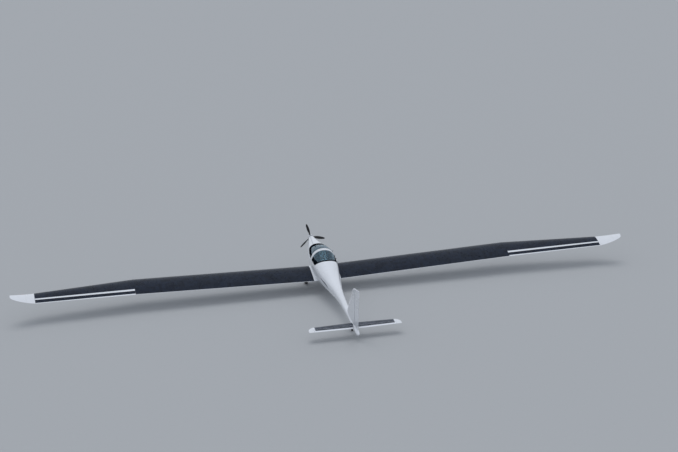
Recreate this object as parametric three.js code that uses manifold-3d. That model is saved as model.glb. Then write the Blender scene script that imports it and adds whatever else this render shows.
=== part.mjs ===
// A two-seat solar-powered aircraft of fibre composite, parked on its main wheels and its tail wheel.
// Everything is drawn in the aircraft's own axes, in millimetres: +X to port, +Y aft from a datum ahead of
// the spinner, +Z up from the thrust line. One group at the end pitches it nose-up on to its three wheels, with
// the origin on the ground in the middle of the bounding box.

import * as THREE from 'three';
import { mergeVertices } from 'three/addons/utils/BufferGeometryUtils.js';
import Module from 'manifold-3d';

const wasm = await Module();
wasm.setup();

// Gaps
const SEAT_GAP = 0.3; // between pieces that rest on each other
const PIN_GAP = 0.5; // around a pin in its bore
const MOVING_GAP = 6; // between a moving piece and what it passes

// Fuselage: each station gives y, top, bottom, half width and height of the widest line
const HULL_STATIONS = [
  [400, 92, -116, 108, -20],
  [630, 112, -190, 172, -45],
  [950, 176, -258, 252, -50],
  [1530, 316, -360, 390, -18],
  [2100, 520, -430, 470, 0],
  [2600, 600, -470, 498, 5],
  [3200, 470, -480, 485, -10],
  [3800, 385, -440, 410, -35],
  [4600, 330, -315, 285, 0],
  [5600, 282, -120, 162, 75],
  [6600, 250, -10, 108, 120],
  [7600, 225, 42, 86, 132],
  [8100, 208, 28, 80, 118],
  [8400, 186, 22, 75, 104],
  [8530, 164, 36, 55, 99],
  [8590, 122, 72, 16, 97],
];
const HULL_SQUARENESS = 2.25; // 2 is an ellipse, more is boxier
const HULL_POINTS = 32; // around one section
const HULL_STEP = 200; // between two sections
const COWL_FRONT = 400;
const FIREWALL = 950;
const POD_REAR = 3900;
const COWL_WALL = 10;
const POD_WALL = 25;
const SILL = 200; // height of the cockpit sill
const CANOPY_FRONT = [[1650, SILL], [1530, 310]]; // foot and top of the front cut, y and z
const CANOPY_REAR = [[3150, SILL], [3320, 420]];
const HOOP = [2566, 2630]; // front and rear face of the hoop between the canopies
const HOOP_WALL = 30;
const CANOPY_GAP = 5;
const FRAME_WALL = 14;
const FRAME_BAND = 42; // width of the frame seen from outside
const GLASS_WALL = 6;
const CANOPY_AXIS = { x: -512, z: 216 };
const LUG_RADIUS = 11;
const LUG_THICKNESS = 12;
const HINGE_PIN = 5;
const FRONT_LUGS = [2080, 2480];
const REAR_LUGS = [2720, 3040];

// Cockpit
const FLOOR = { top: -320, thickness: 20, front: 1000, rear: 3880 };
const BULKHEAD = { front: 3420, thickness: 20 };
const SEATS = [['front', 1960], ['rear', 2790]]; // front edge of the pan
const SEAT = { width: 400, pan: 330, lift: 75, thickness: 45, rise: 520, lean: 170 };
const PANELS = [['front', 1640, -20, 300], ['rear', 2600, 0, 190]]; // y, bottom and top
const PANEL_THICKNESS = 20;
const STICKS = [['front', 1840], ['rear', 2700]];
const STICK = { height: 330, radius: 11, grip: 19 };
const BATTERY = { x: 230, y: [3470, 3860], height: 240 };

// Propeller and motor
const SPINNER = { tip: 150, base: 366, radius: 106 };
const HUB = { front: 366.3, rear: 386, radius: 92, shaft: 15 };
const BLADE_Y = 290; // of the blades' axes
const BLADE_ANGLES = [-13, 107, 227]; // seen from behind, from starboard up
const BLADE_SHANK = { radius: 23, from: 38 };
// Blade stations: radius, chord, thickness, pitch in degrees
const BLADE_STATIONS = [
  [118, 48, 42, 60],
  [190, 92, 30, 50],
  [310, 116, 19, 34],
  [440, 104, 12, 25],
  [550, 76, 8, 20],
  [600, 44, 6, 18],
  [615, 18, 4, 17],
];
const MOTOR = { front: 600, rear: 700, radius: 96, recess: 60 };
const MOUNT = { ring: 90, plate: 8, tube: 11 };

// Wing: each station gives x, y of the leading edge, z of the leading edge, chord and thickness ratio
const WING_ROOT = [540, 2300, -278, 1180, 0.14];
const WING_KINK = [7555, 2232, -122, 1125, 0.14];
const WING_JUNCTION = [11400, 2722, -20, 735, 0.13];
const WING_CAMBER = 0.03;
const WING_INCIDENCE = THREE.MathUtils.degToRad(2);
const FAIRING_INNER_X = 250;
const FAIRING_SWELL = 12; // how far the root fairing stands proud of the wing's skin
const TIP = { end: 12330, sweep: 392, rise: 246, curl: 1.15 };
// Tip stations: share of the tip's span, chord
const TIP_STATIONS = [[0, 735], [0.25, 650], [0.5, 548], [0.72, 438], [0.88, 330], [0.96, 246], [1, 150]];
const FOIL_POINTS = 14; // along one side of a wing section

// Ailerons
const AILERON = { inner: 7564, outer: 11391, chordInner: 305, chordOuter: 272, depth: 10, topGap: 9, rake: 28 };
const AILERON_PIN = { radius: 6, length: 22 };

// Tail
const STAB = { z: 166, root: 40, tip: 1760, fullChordFrom: 1560, ratio: 0.12 };
const STAB_ROOT = { front: 7780, rear: 8215 };
const STAB_TIP = { front: 7840, rear: 8178 };
// Raked tip: x, how far the leading edge has moved aft
const STAB_RAKE = [[1560, 0], [1640, 34], [1702, 84], [1746, 146], [1760, 215]];
const ELEVATOR = { y: 8025, z: 174, root: 100, topGap: 12, rake: 12, tube: 11, pin: 5, pinLength: 22 };
const FIN_HINGE = 8080;
const FIN_GAP = 44; // from the hinge axis to the fin's rear face
const FIN_TOP_TILT = 0.34;
// Fin stations: z, y of the leading edge, thickness
const FIN_STATIONS = [
  [120, 6723, 120],
  [700, 7070, 112],
  [1440, 7515, 84],
  [1600, 7605, 78],
  [1690, 7695, 66],
  [1730, 7800, 44],
];
// Rudder stations: z, y of the trailing edge, nose radius
const RUDDER_STATIONS = [
  [230, 8522, 32],
  [1690, 8590, 30],
  [1730, 8597, 22],
];
const RUDDER_PIN = { radius: 6, foot: 178 };
const RUDDER_BRACKET = { z: 1050, thickness: 14, half: 12, notch: 30 };
const TRAILING_HALF = 2;

// Main gear
const MAIN = { x: 650, y: 2378, z: -802, radius: 180 };
const LEG = { padX: 575, padWidth: 16, padY: 46, padZ: 52 };
// Leg stations: x, y, z, width fore and aft, thickness
const LEG_STATIONS = [
  [180, 2470, -330, 130, 34],
  [300, 2458, -480, 120, 32],
  [420, 2430, -625, 104, 28],
  [520, 2400, -745, 92, 24],
  [568, 2384, -806, 84, 20],
];
const AXLE = { flange: 34, flangeWidth: 8, radius: 12, end: 722 };
// Rim outline: radius, distance from the wheel's middle, outboard positive
const RIM_PROFILE = [
  [12.5, -62], [30, -62], [30, -10], [58, -10], [58, -50], [76, -50], [64, -38],
  [64, 38], [76, 50], [58, 50], [58, 10], [30, 10], [30, 58], [12.5, 58],
];
const TYRE_PROFILE = [
  [64.5, -36], [79, -50.5], [112, -60], [150, -60], [173, -42], [180, -18], [180, 18], [173, 42],
  [150, 60], [112, 60], [79, 50.5], [64.5, 36],
];
const WHEEL_SEGMENTS = 28;

// Tail gear
const TAIL = { y: 7560, z: -220, radius: 90, pivot: 7510 };
const TAIL_STRUT = { bottom: -92, radius: 22, block: [7430, 7590], half: 30, top: 60, bore: 10 };
const TAIL_FORK = { crown: [-124, -98], arm: [29, 37], stem: -10, foot: -242 };
const TAIL_AXLE = { radius: 6, half: 42 };
const TAIL_RIM_PROFILE = [
  [6.5, -26], [14, -26], [14, -8], [34, -8], [45, -19], [47, -17], [40, -11.5],
  [40, 11.5], [47, 17], [45, 19], [34, 8], [14, 8], [14, 26], [6.5, 26],
];
const TAIL_TYRE_PROFILE = [
  [40.5, -11], [47, -14], [64, -22], [80, -20], [90, -9], [90, 9], [80, 20], [64, 22], [47, 14], [40.5, 11],
];

// Finishes
const finish = (color, roughness, metalness = 0) => new THREE.MeshStandardMaterial({ color, roughness, metalness });
const WHITE = finish(0xe9edf2, 0.25);
const CELLS = finish(0x1b2330, 0.35);
const BLACK = finish(0x0d0e10, 0.35);
const GREY = finish(0x4b4e52, 0.6);
const METAL = finish(0x8f9499, 0.35, 1);
const RUBBER = finish(0x17181a, 0.85);
const GLASS = new THREE.MeshStandardMaterial({ color: 0x6f8ea3, roughness: 0.08, transparent: true, opacity: 0.4 });

// Geometry helpers

// A closed skin over rings with the same number of points, closed by a fan at both ends
function loft(rings) {
  const count = rings[0].length;
  const points = rings.flat();
  const faces = [];
  for (let r = 0; r + 1 < rings.length; r += 1) {
    for (let i = 0; i < count; i += 1) {
      const a = r * count + i;
      const b = r * count + ((i + 1) % count);
      // The facets' diagonals mirror each other to port and starboard
      const port = points[a].x + points[b].x + points[a + count].x + points[b + count].x > 0;
      if (port) faces.push([a, b, b + count], [a, b + count, a + count]);
      else faces.push([a, b, a + count], [b, b + count, a + count]);
    }
  }
  const last = (rings.length - 1) * count;
  const middle = (ring) => ring.reduce((sum, p) => sum.add(p), new THREE.Vector3()).divideScalar(count);
  points.push(middle(rings[0]), middle(rings.at(-1)));
  for (let i = 0; i < count; i += 1) {
    const next = (i + 1) % count;
    faces.push([points.length - 2, next, i], [points.length - 1, last + i, last + next]);
  }
  return facingOut(points, faces);
}

// A closed mesh of points and triangles whose faces are turned to point out
function facingOut(points, faces) {
  let volume = 0;
  for (const [a, b, c] of faces) {
    volume += points[a].dot(new THREE.Vector3().crossVectors(points[b], points[c]));
  }
  const ordered = volume < 0 ? faces.map(([a, b, c]) => [a, c, b]) : faces;
  const geometry = new THREE.BufferGeometry();
  geometry.setAttribute('position', new THREE.Float32BufferAttribute(points.flatMap((p) => p.toArray()), 3));
  geometry.setIndex(ordered.flat());
  geometry.computeVertexNormals();
  return geometry;
}

function solidOf(geometry) {
  const bare = geometry.clone();
  bare.deleteAttribute('normal');
  bare.deleteAttribute('uv');
  const welded = mergeVertices(bare, 1e-3);
  return new wasm.Manifold(new wasm.Mesh({
    numProp: 3,
    vertProperties: welded.attributes.position.array,
    triVerts: Uint32Array.from(welded.index.array),
  }));
}

function geometryOf(solid) {
  const mesh = solid.getMesh();
  const geometry = new THREE.BufferGeometry();
  geometry.setAttribute('position', new THREE.BufferAttribute(mesh.vertProperties, 3));
  geometry.setIndex(new THREE.BufferAttribute(mesh.triVerts, 1));
  geometry.computeVertexNormals();
  return geometry;
}

// A box between two corners
function block(x, y, z) {
  const box = new THREE.BoxGeometry(x[1] - x[0], y[1] - y[0], z[1] - z[0]);
  return solidOf(box.translate((x[0] + x[1]) / 2, (y[0] + y[1]) / 2, (z[0] + z[1]) / 2));
}

// A round rod between two points
function rod(from, to, radius, segments = 24) {
  const a = new THREE.Vector3(...from);
  const b = new THREE.Vector3(...to);
  const along = b.clone().sub(a);
  const turn = new THREE.Quaternion().setFromUnitVectors(new THREE.Vector3(0, 1, 0), along.clone().normalize());
  const cylinder = new THREE.CylinderGeometry(radius, radius, along.length(), segments);
  return solidOf(cylinder.applyQuaternion(turn).translate(...a.lerp(b, 0.5).toArray()));
}

// A prism across the whole fuselage, from an outline of y and z
function prism(outline, half = 1200) {
  const rings = [-half, half].map((x) => outline.map(([y, z]) => new THREE.Vector3(x, y, z)));
  return solidOf(loft(rings));
}

// A ring turned about an axis along X through y and z, from an outline of radius and place along the axis
function wheel(outline, x, y, z, segments = WHEEL_SEGMENTS) {
  const closed = [...outline, outline[0]].map(([radius, along]) => new THREE.Vector2(radius, along));
  const turned = new THREE.LatheGeometry(closed, segments);
  turned.rotateZ(-Math.PI / 2).rotateX(-noseUp);
  const ring = geometryOf(outward(turned));
  return ring.translate(x, y, z);
}

// The same solid whichever way its outline ran
function outward(geometry) {
  const bare = geometry.clone();
  bare.deleteAttribute('normal');
  bare.deleteAttribute('uv');
  const welded = mergeVertices(bare, 1e-3);
  const points = [];
  const position = welded.attributes.position;
  for (let i = 0; i < position.count; i += 1) points.push(new THREE.Vector3().fromBufferAttribute(position, i));
  const faces = [];
  for (let i = 0; i < welded.index.count; i += 3) {
    const face = [0, 1, 2].map((k) => welded.index.getX(i + k));
    if (new Set(face).size === 3) faces.push(face);
  }
  return solidOf(facingOut(points, faces));
}

// The port piece's mirror image
function mirrored(geometry) {
  const copy = geometry.clone();
  copy.scale(-1, 1, 1);
  const index = copy.index.array;
  for (let i = 0; i < index.length; i += 3) [index[i], index[i + 1]] = [index[i + 1], index[i]];
  copy.computeVertexNormals();
  return copy;
}

// A smooth curve through a table whose first column is the place along it
function smooth(table, at, column) {
  const last = table.length - 1;
  let i = 0;
  while (i < last - 1 && at > table[i + 1][0]) i += 1;
  const slope = (k) => {
    const a = table[Math.max(k - 1, 0)];
    const b = table[Math.min(k + 1, last)];
    return (b[column] - a[column]) / (b[0] - a[0]);
  };
  const width = table[i + 1][0] - table[i][0];
  const t = (at - table[i][0]) / width;
  const rise = table[i + 1][column] - table[i][column];
  const bend = (slope(i) * width - rise) * (1 - t) + (rise - slope(i + 1) * width) * t;
  return table[i][column] + rise * t + t * (1 - t) * bend;
}

// Fuselage

function hullRing(y, inset = 0) {
  const [top, bottom, half, widest] = [1, 2, 3, 4].map((column) => smooth(HULL_STATIONS, y, column));
  const power = (value) => Math.sign(value) * Math.abs(value) ** (2 / HULL_SQUARENESS);
  return Array.from({ length: HULL_POINTS }, (_, i) => {
    const turn = (2 * Math.PI * i) / HULL_POINTS;
    const height = (Math.sin(turn) > 0 ? top - widest : widest - bottom) - inset;
    return new THREE.Vector3((half - inset) * power(Math.cos(turn)), y, widest + height * power(Math.sin(turn)));
  });
}

// Heights along the fuselage of every section, the same for each inset, so that skins stay parallel
function hullGrid(inset) {
  const ends = [HULL_STATIONS[0][0], inset > 1 ? POD_REAR + HULL_STEP : HULL_STATIONS.at(-1)[0]];
  const grid = [];
  for (let y = ends[0]; y < ends[1] - HULL_STEP / 2; y += HULL_STEP) grid.push(y);
  return [...grid, ...(inset > 1 ? [] : [8440, 8530]), ends[1]].filter((y, i, all) => i === 0 || y > all[i - 1] + 5);
}

const hulls = new Map();

// The fuselage between two places along it, its skin moved in by an inset
function hull(from, to, inset = 0) {
  if (!hulls.has(inset)) hulls.set(inset, solidOf(loft(hullGrid(inset).map((y) => hullRing(y, inset)))));
  return hulls.get(inset).intersect(block([-900, 900], [from, to], [-900, 900]));
}

// y of a slanted canopy cut at a height
function cutAt([foot, top], z) {
  return foot[0] + ((top[0] - foot[0]) * (z - foot[1])) / (top[1] - foot[1]);
}

// The space above the sill between two cuts, each a function that gives y at a height
function aboveSill(front, rear, bottom) {
  const roof = 900;
  return prism([[front(bottom), bottom], [rear(bottom), bottom], [rear(roof), roof], [front(roof), roof]]);
}

const frontCut = (shift) => (z) => cutAt(CANOPY_FRONT, z) + shift;
const rearCut = (shift) => (z) => cutAt(CANOPY_REAR, z) - shift;
const across = (y) => () => y;
const SLANT = 1.4; // a slanted cut moves this much along y for 1 of width

function canopyShell(wall, front, rear, bottom) {
  const skin = hull(1300, 3600).subtract(hull(1290, 3610, wall));
  return skin.intersect(aboveSill(front, rear, bottom));
}

// A lug on the canopy frame with its bore, and the ear with its pin on the sill
function canopyLug(y) {
  const { x, z } = CANOPY_AXIS;
  const eye = rod([x, y - LUG_THICKNESS / 2, z], [x, y + LUG_THICKNESS / 2, z], LUG_RADIUS);
  const arm = block([x, x + 90], [y - LUG_THICKNESS / 2, y + LUG_THICKNESS / 2], [z - 7, z + 7]);
  return eye.add(arm.subtract(hull(y - 40, y + 40, FRAME_WALL)));
}

function canopyBore(y) {
  const { x, z } = CANOPY_AXIS;
  return rod([x, y - 20, z], [x, y + 20, z], HINGE_PIN + PIN_GAP);
}

function sillEar(y) {
  const { x, z } = CANOPY_AXIS;
  const front = y + LUG_THICKNESS / 2 + 3;
  const ear = block([x - LUG_RADIUS, x + 90], [front, front + LUG_THICKNESS], [z - 50, z + LUG_RADIUS]);
  const outside = ear.subtract(hull(y - 60, y + 60, POD_WALL)).subtract(
    block([x + 14, x + 200], [front - 5, front + LUG_THICKNESS + 5], [SILL, z + 60]),
  );
  return outside.add(rod([x, y - LUG_THICKNESS / 2 - 4, z], [x, front + 2, z], HINGE_PIN));
}

function fuselagePieces() {
  const cowl = hull(COWL_FRONT, FIREWALL - SEAT_GAP)
    .subtract(hull(COWL_FRONT + 15, FIREWALL + 10, COWL_WALL))
    .subtract(rod([0, COWL_FRONT - 10, 0], [0, COWL_FRONT + 40, 0], HUB.shaft + 8));
  const wide = [-700, 700];
  const all = [0, 2000];
  const upper = cowl.intersect(block(wide, all, [SEAT_GAP, 800]));
  const lower = cowl.intersect(block(wide, all, [-800, 0]));
  let pod = hull(FIREWALL, POD_REAR)
    .subtract(hull(FIREWALL - 10, POD_REAR + 10, POD_WALL))
    .subtract(aboveSill(frontCut(0), rearCut(0), SILL));
  for (const y of [...FRONT_LUGS, ...REAR_LUGS]) pod = pod.add(sillEar(y));
  const inside = hull(FIREWALL, POD_REAR, POD_WALL + SEAT_GAP);
  const firewall = inside.intersect(block(wide, [FIREWALL + SEAT_GAP, FIREWALL + 12], [-800, 800]));
  const bulkhead = inside.intersect(
    block(wide, [BULKHEAD.front, BULKHEAD.front + BULKHEAD.thickness], [FLOOR.top + SEAT_GAP, 800]),
  );
  const floor = inside.intersect(block(wide, [FLOOR.front, FLOOR.rear], [FLOOR.top - FLOOR.thickness, FLOOR.top]));
  const tail = hull(POD_REAR + SEAT_GAP, HULL_STATIONS.at(-1)[0])
    .subtract(rod([-200, ELEVATOR.y, ELEVATOR.z], [200, ELEVATOR.y, ELEVATOR.z], ELEVATOR.tube + MOVING_GAP))
    .subtract(rod([0, FIN_HINGE, RUDDER_PIN.foot - 8], [0, FIN_HINGE, 400], RUDDER_PIN.radius + PIN_GAP));
  return [
    ['nose_cowl_upper', upper, WHITE],
    ['nose_cowl_lower', lower, WHITE],
    ['firewall', firewall, METAL],
    ['cockpit_shell', pod, WHITE],
    ['rear_bulkhead', bulkhead, WHITE],
    ['cockpit_floor', floor, GREY],
    ['tail_cone', tail, WHITE],
  ];
}

function canopyPieces() {
  const gap = CANOPY_GAP;
  const band = FRAME_BAND;
  const bottom = SILL + gap;
  // name, front cut, rear cut, window's front cut, window's rear cut, lugs
  const canopies = [
    ['front', frontCut(gap * SLANT), across(HOOP[0] - gap), frontCut((gap + band) * SLANT),
      across(HOOP[0] - gap - band), FRONT_LUGS],
    ['rear', across(HOOP[1] + gap), rearCut(gap * SLANT), across(HOOP[1] + gap + band),
      rearCut((gap + band) * SLANT), REAR_LUGS],
  ];
  const pieces = [];
  for (const [name, front, rear, paneFront, paneRear, lugs] of canopies) {
    let frame = canopyShell(FRAME_WALL, front, rear, bottom).subtract(aboveSill(paneFront, paneRear, bottom + band));
    for (const y of lugs) frame = frame.add(canopyLug(y));
    for (const y of lugs) frame = frame.subtract(canopyBore(y));
    const shrunk = [(z) => paneFront(z) + 2 * SEAT_GAP, (z) => paneRear(z) - 2 * SEAT_GAP];
    const glass = canopyShell(GLASS_WALL, ...shrunk, bottom + band + SEAT_GAP);
    pieces.push([`canopy_${name}_frame`, frame, BLACK], [`canopy_${name}_glass`, glass, GLASS]);
  }
  pieces.push(['canopy_hoop', canopyShell(HOOP_WALL, across(HOOP[0]), across(HOOP[1]), SILL + SEAT_GAP), WHITE]);
  return pieces;
}

function cockpitPieces() {
  const pieces = [];
  const floor = FLOOR.top + SEAT_GAP;
  for (const [name, y] of SEATS) {
    const pan = floor + SEAT.lift;
    const back = [y + SEAT.pan + SEAT.lean, pan + SEAT.rise];
    const outline = [
      [y, floor], [y + SEAT.pan + 30, floor], [y + SEAT.pan + SEAT.thickness, pan],
      [back[0] + SEAT.thickness, back[1]], back, [y + SEAT.pan, pan + SEAT.thickness], [y, pan + SEAT.thickness],
    ];
    const shape = new THREE.Shape(outline.map(([a, b]) => new THREE.Vector2(a, b)));
    const seat = new THREE.ExtrudeGeometry(shape, { depth: SEAT.width, bevelEnabled: false });
    seat.rotateY(Math.PI / 2).rotateX(Math.PI / 2).translate(-SEAT.width / 2, 0, 0);
    pieces.push([`seat_${name}`, solidOf(seat), GREY]);
  }
  for (const [name, y, bottom, top] of PANELS) {
    const inside = hull(y - 100, y + 100, POD_WALL + SEAT_GAP);
    const panel = inside.intersect(block([-700, 700], [y - PANEL_THICKNESS, y], [bottom, top]));
    pieces.push([`instrument_panel_${name}`, panel, BLACK]);
  }
  for (const [name, y] of STICKS) {
    const stick = rod([0, y, floor + 10], [0, y - 20, floor + STICK.height], STICK.radius, 16)
      .add(rod([0, y - 14, floor + STICK.height * 0.66], [0, y - 22, floor + STICK.height * 1.05], STICK.grip, 16))
      .add(rod([0, y, floor], [0, y, floor + 30], 45, 16));
    pieces.push([`control_stick_${name}`, stick, BLACK]);
  }
  const { x, y, height } = BATTERY;
  pieces.push(['battery_block', block([-x, x], y, [floor, floor + height]), METAL]);
  return pieces;
}

// Propeller and motor

function bladeRing([radius, chord, thickness, pitch]) {
  const turn = THREE.MathUtils.degToRad(-pitch);
  const count = 16;
  return Array.from({ length: count }, (_, i) => {
    const angle = (2 * Math.PI * i) / count;
    const along = (Math.cos(angle) * chord) / 2;
    const off = (Math.sin(angle) * thickness) / 2;
    return new THREE.Vector3(
      along * Math.cos(turn) - off * Math.sin(turn),
      BLADE_Y + along * Math.sin(turn) + off * Math.cos(turn),
      radius,
    );
  });
}

function propellerPieces() {
  const nose = [];
  for (let i = 0; i <= 7; i += 1) {
    const t = i / 7;
    const back = SPINNER.tip + (SPINNER.base - SPINNER.tip) * t ** 1.5;
    nose.push(new THREE.Vector2(SPINNER.radius * Math.sin((t * Math.PI) / 2) ** 0.85, back));
  }
  nose.push(new THREE.Vector2(0, SPINNER.base));
  nose[0].x = 0;
  let spinner = outward(new THREE.LatheGeometry(nose, 28));
  const hub = rod([0, HUB.front, 0], [0, HUB.rear, 0], HUB.radius, 32)
    .add(rod([0, HUB.rear - 2, 0], [0, MOTOR.front + MOTOR.recess - 15, 0], HUB.shaft));
  const { radius, from } = BLADE_SHANK;
  const blades = [];
  BLADE_ANGLES.forEach((angle, i) => {
    const blade = solidOf(loft(BLADE_STATIONS.map(bladeRing)))
      .add(rod([0, BLADE_Y, from], [0, BLADE_Y, BLADE_STATIONS[0][0] + 4], radius));
    // Straight up is 90 degrees seen from behind, where starboard is 0
    const turned = blade.rotate([0, angle - 90, 0]);
    const bore = rod([0, BLADE_Y, from - 2], [0, BLADE_Y, 2 * SPINNER.radius], radius + PIN_GAP).rotate([0, angle - 90, 0]);
    spinner = spinner.subtract(bore);
    blades.push([`propeller_blade_${i + 1}`, turned, BLACK]);
  });
  const bore = rod([0, MOTOR.front - 5, 0], [0, MOTOR.front + MOTOR.recess, 0], HUB.shaft + PIN_GAP);
  const motor = rod([0, MOTOR.front, 0], [0, MOTOR.rear, 0], MOTOR.radius, 32).subtract(bore);
  const back = MOTOR.rear + SEAT_GAP;
  let mount = rod([0, back, 0], [0, back + MOUNT.plate, 0], MOUNT.ring, 32);
  for (const [x, z] of [[1, 1], [1, -1], [-1, 1], [-1, -1]]) {
    const foot = [x * 120, FIREWALL, z * 120 - 10];
    mount = mount.add(rod([x * 55, back + MOUNT.plate / 2, z * 55], foot, MOUNT.tube, 16));
  }
  mount = mount.intersect(block([-500, 500], [0, FIREWALL - SEAT_GAP], [-500, 500]));
  return [
    ['spinner', spinner, WHITE],
    ['propeller_hub', hub, METAL],
    ...blades,
    ['motor_block', motor, METAL],
    ['motor_mount', mount, METAL],
  ];
}

// Wing

// Heights of a section's upper and lower side at a share of its chord, for a chord of 1
function foilSides(u, ratio, camber) {
  const half = 5 * ratio * (0.2969 * Math.sqrt(u) - 0.126 * u - 0.3516 * u ** 2 + 0.2843 * u ** 3 - 0.1015 * u ** 4);
  const peak = 0.4;
  const line = u < peak
    ? (camber / peak ** 2) * (2 * peak * u - u ** 2)
    : (camber / (1 - peak) ** 2) * (1 - 2 * peak + 2 * peak * u - u ** 2);
  return [line + half, line - half];
}

// A place on a wing section; share of the chord and height for a chord of 1
function onSection([x, y, z, chord], u, height) {
  const cos = Math.cos(WING_INCIDENCE);
  const sin = Math.sin(WING_INCIDENCE);
  return new THREE.Vector3(x, y + chord * (u * cos + height * sin), z + chord * (height * cos - u * sin));
}

// The section from its nose to a share of its chord, over the top and back underneath
function foilRing(station, { end = 1, swell = 0, points = FOIL_POINTS } = {}) {
  const [, , , chord, ratio] = station;
  const ring = [];
  const grown = swell / chord;
  for (let i = points; i >= -points; i -= 1) {
    const u = end * (1 - Math.cos((Math.abs(i) / points) * (Math.PI / 2)));
    const [upper, lower] = foilSides(u, ratio, WING_CAMBER);
    const taper = grown * Math.min(1, 4 * (1 - u) + 0.2);
    ring.push(i > 0 ? onSection(station, u, upper + taper) : onSection(station, u - (i === 0 ? grown : 0), lower - taper * (i < 0)));
  }
  return ring;
}

const mix = (a, b, t) => a.map((value, i) => value + (b[i] - value) * t);
const wingAt = (x) => (x < WING_KINK[0]
  ? mix(WING_ROOT, WING_KINK, (x - WING_ROOT[0]) / (WING_KINK[0] - WING_ROOT[0]))
  : mix(WING_KINK, WING_JUNCTION, (x - WING_KINK[0]) / (WING_JUNCTION[0] - WING_KINK[0])));

// Where the aileron's hinge line crosses a station: share of the chord and the place of the axis
function hingeAt(x) {
  const station = wingAt(x);
  const chord = station[3];
  const share = (x - WING_KINK[0]) / (WING_JUNCTION[0] - WING_KINK[0]);
  const u = 1 - (AILERON.chordInner + (AILERON.chordOuter - AILERON.chordInner) * share) / chord;
  const [upper, lower] = foilSides(u, station[4], WING_CAMBER);
  return { station, chord, u, upper, lower, axis: onSection(station, u, upper - AILERON.depth / chord) };
}

function aileronRing(x) {
  const { station, chord, u } = hingeAt(x);
  const ring = [];
  for (const share of [1, 0.75, 0.5, 0.25, 0]) {
    const at = u + (1 - u) * share;
    ring.push(onSection(station, at, foilSides(at, station[4], WING_CAMBER)[0]));
  }
  const foot = u + AILERON.rake / chord;
  for (const share of [0, 0.33, 0.66, 1]) {
    const at = foot + (1 - foot) * share;
    ring.push(onSection(station, at, foilSides(at, station[4], WING_CAMBER)[1]));
  }
  return ring;
}

function wingPieces() {
  const innerAxis = hingeAt(AILERON.inner).axis;
  const outerAxis = hingeAt(AILERON.outer).axis;
  const beyond = (from, to, distance) => to.clone().add(to.clone().sub(from).setLength(distance)).toArray();
  const pinRod = (radius, extra) => [
    rod(innerAxis.clone().lerp(outerAxis, 0.01).toArray(), beyond(outerAxis, innerAxis, AILERON_PIN.length + extra), radius),
    rod(outerAxis.clone().lerp(innerAxis, 0.01).toArray(), beyond(innerAxis, outerAxis, AILERON_PIN.length + extra), radius),
  ];
  const [innerPin, outerPin] = pinRod(AILERON_PIN.radius, 0);
  const [innerBore, outerBore] = pinRod(AILERON_PIN.radius + PIN_GAP, 3);
  const shell = hull(1900, 3900, -SEAT_GAP);
  const rootAt = (x) => [x, ...WING_ROOT.slice(1)];
  const fairing = solidOf(loft([
    foilRing(rootAt(FAIRING_INNER_X), { swell: 55 }),
    foilRing(rootAt(400), { swell: 34 }),
    foilRing(rootAt(470), { swell: 20 }),
    foilRing(rootAt(WING_ROOT[0]), { swell: FAIRING_SWELL }),
  ])).subtract(shell);
  const inner = solidOf(loft([foilRing([WING_ROOT[0] + SEAT_GAP, ...WING_ROOT.slice(1)]), foilRing(WING_KINK)]))
    .subtract(innerBore);
  const rear = (x) => {
    const { u, chord } = hingeAt(x);
    return foilRing(wingAt(x), { end: u - AILERON.topGap / chord });
  };
  const outer = solidOf(loft([rear(WING_KINK[0] + SEAT_GAP), rear(WING_JUNCTION[0])]));
  const aileron = solidOf(loft([aileronRing(AILERON.inner), aileronRing(AILERON.outer)])).add(innerPin).add(outerPin);
  const tipRings = TIP_STATIONS.map(([share, chord]) => foilRing([
    WING_JUNCTION[0] + SEAT_GAP + (TIP.end - WING_JUNCTION[0] - SEAT_GAP) * share,
    WING_JUNCTION[1] + TIP.sweep * share,
    WING_JUNCTION[2] + TIP.rise * share ** TIP.curl,
    chord,
    WING_JUNCTION[4],
  ]));
  const tip = solidOf(loft(tipRings)).subtract(outerBore);
  return [
    ['wing_root_fairing', fairing, WHITE],
    ['wing_inner', inner, CELLS],
    ['wing_outer', outer, CELLS],
    ['aileron', aileron, CELLS],
    ['wing_tip', tip, WHITE],
  ];
}

// Tail

function stabRing(x, end, rake = 0) {
  const t = Math.max(0, Math.min(1, x / STAB.tip));
  const front = STAB_ROOT.front + (STAB_TIP.front - STAB_ROOT.front) * t + rake;
  const rear = STAB_ROOT.rear + (STAB_TIP.rear - STAB_ROOT.rear) * t;
  const chord = rear - front;
  const share = end === null ? 1 : (end - front) / chord;
  const ring = [];
  for (let i = 10; i >= -10; i -= 1) {
    const u = share * (1 - Math.cos((Math.abs(i) / 10) * (Math.PI / 2)));
    const half = foilSides(u, STAB.ratio, 0)[0] * chord;
    ring.push(new THREE.Vector3(x, front + u * chord, STAB.z + Math.sign(i) * half));
  }
  return ring;
}

function elevatorRing(x) {
  const t = x / STAB.tip;
  const front = STAB_ROOT.front + (STAB_TIP.front - STAB_ROOT.front) * t;
  const rear = STAB_ROOT.rear + (STAB_TIP.rear - STAB_ROOT.rear) * t;
  const chord = rear - front;
  const side = (y) => foilSides((y - front) / chord, STAB.ratio, 0)[0] * chord;
  const ring = [];
  const foot = ELEVATOR.y + ELEVATOR.rake;
  for (const share of [1, 0.66, 0.33, 0]) {
    const y = ELEVATOR.y + (rear - ELEVATOR.y) * share;
    ring.push(new THREE.Vector3(x, y, STAB.z + side(y)));
  }
  for (const share of [0, 0.33, 0.66, 1]) {
    const y = foot + (rear - foot) * share;
    ring.push(new THREE.Vector3(x, y, STAB.z - side(y)));
  }
  return ring;
}

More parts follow.
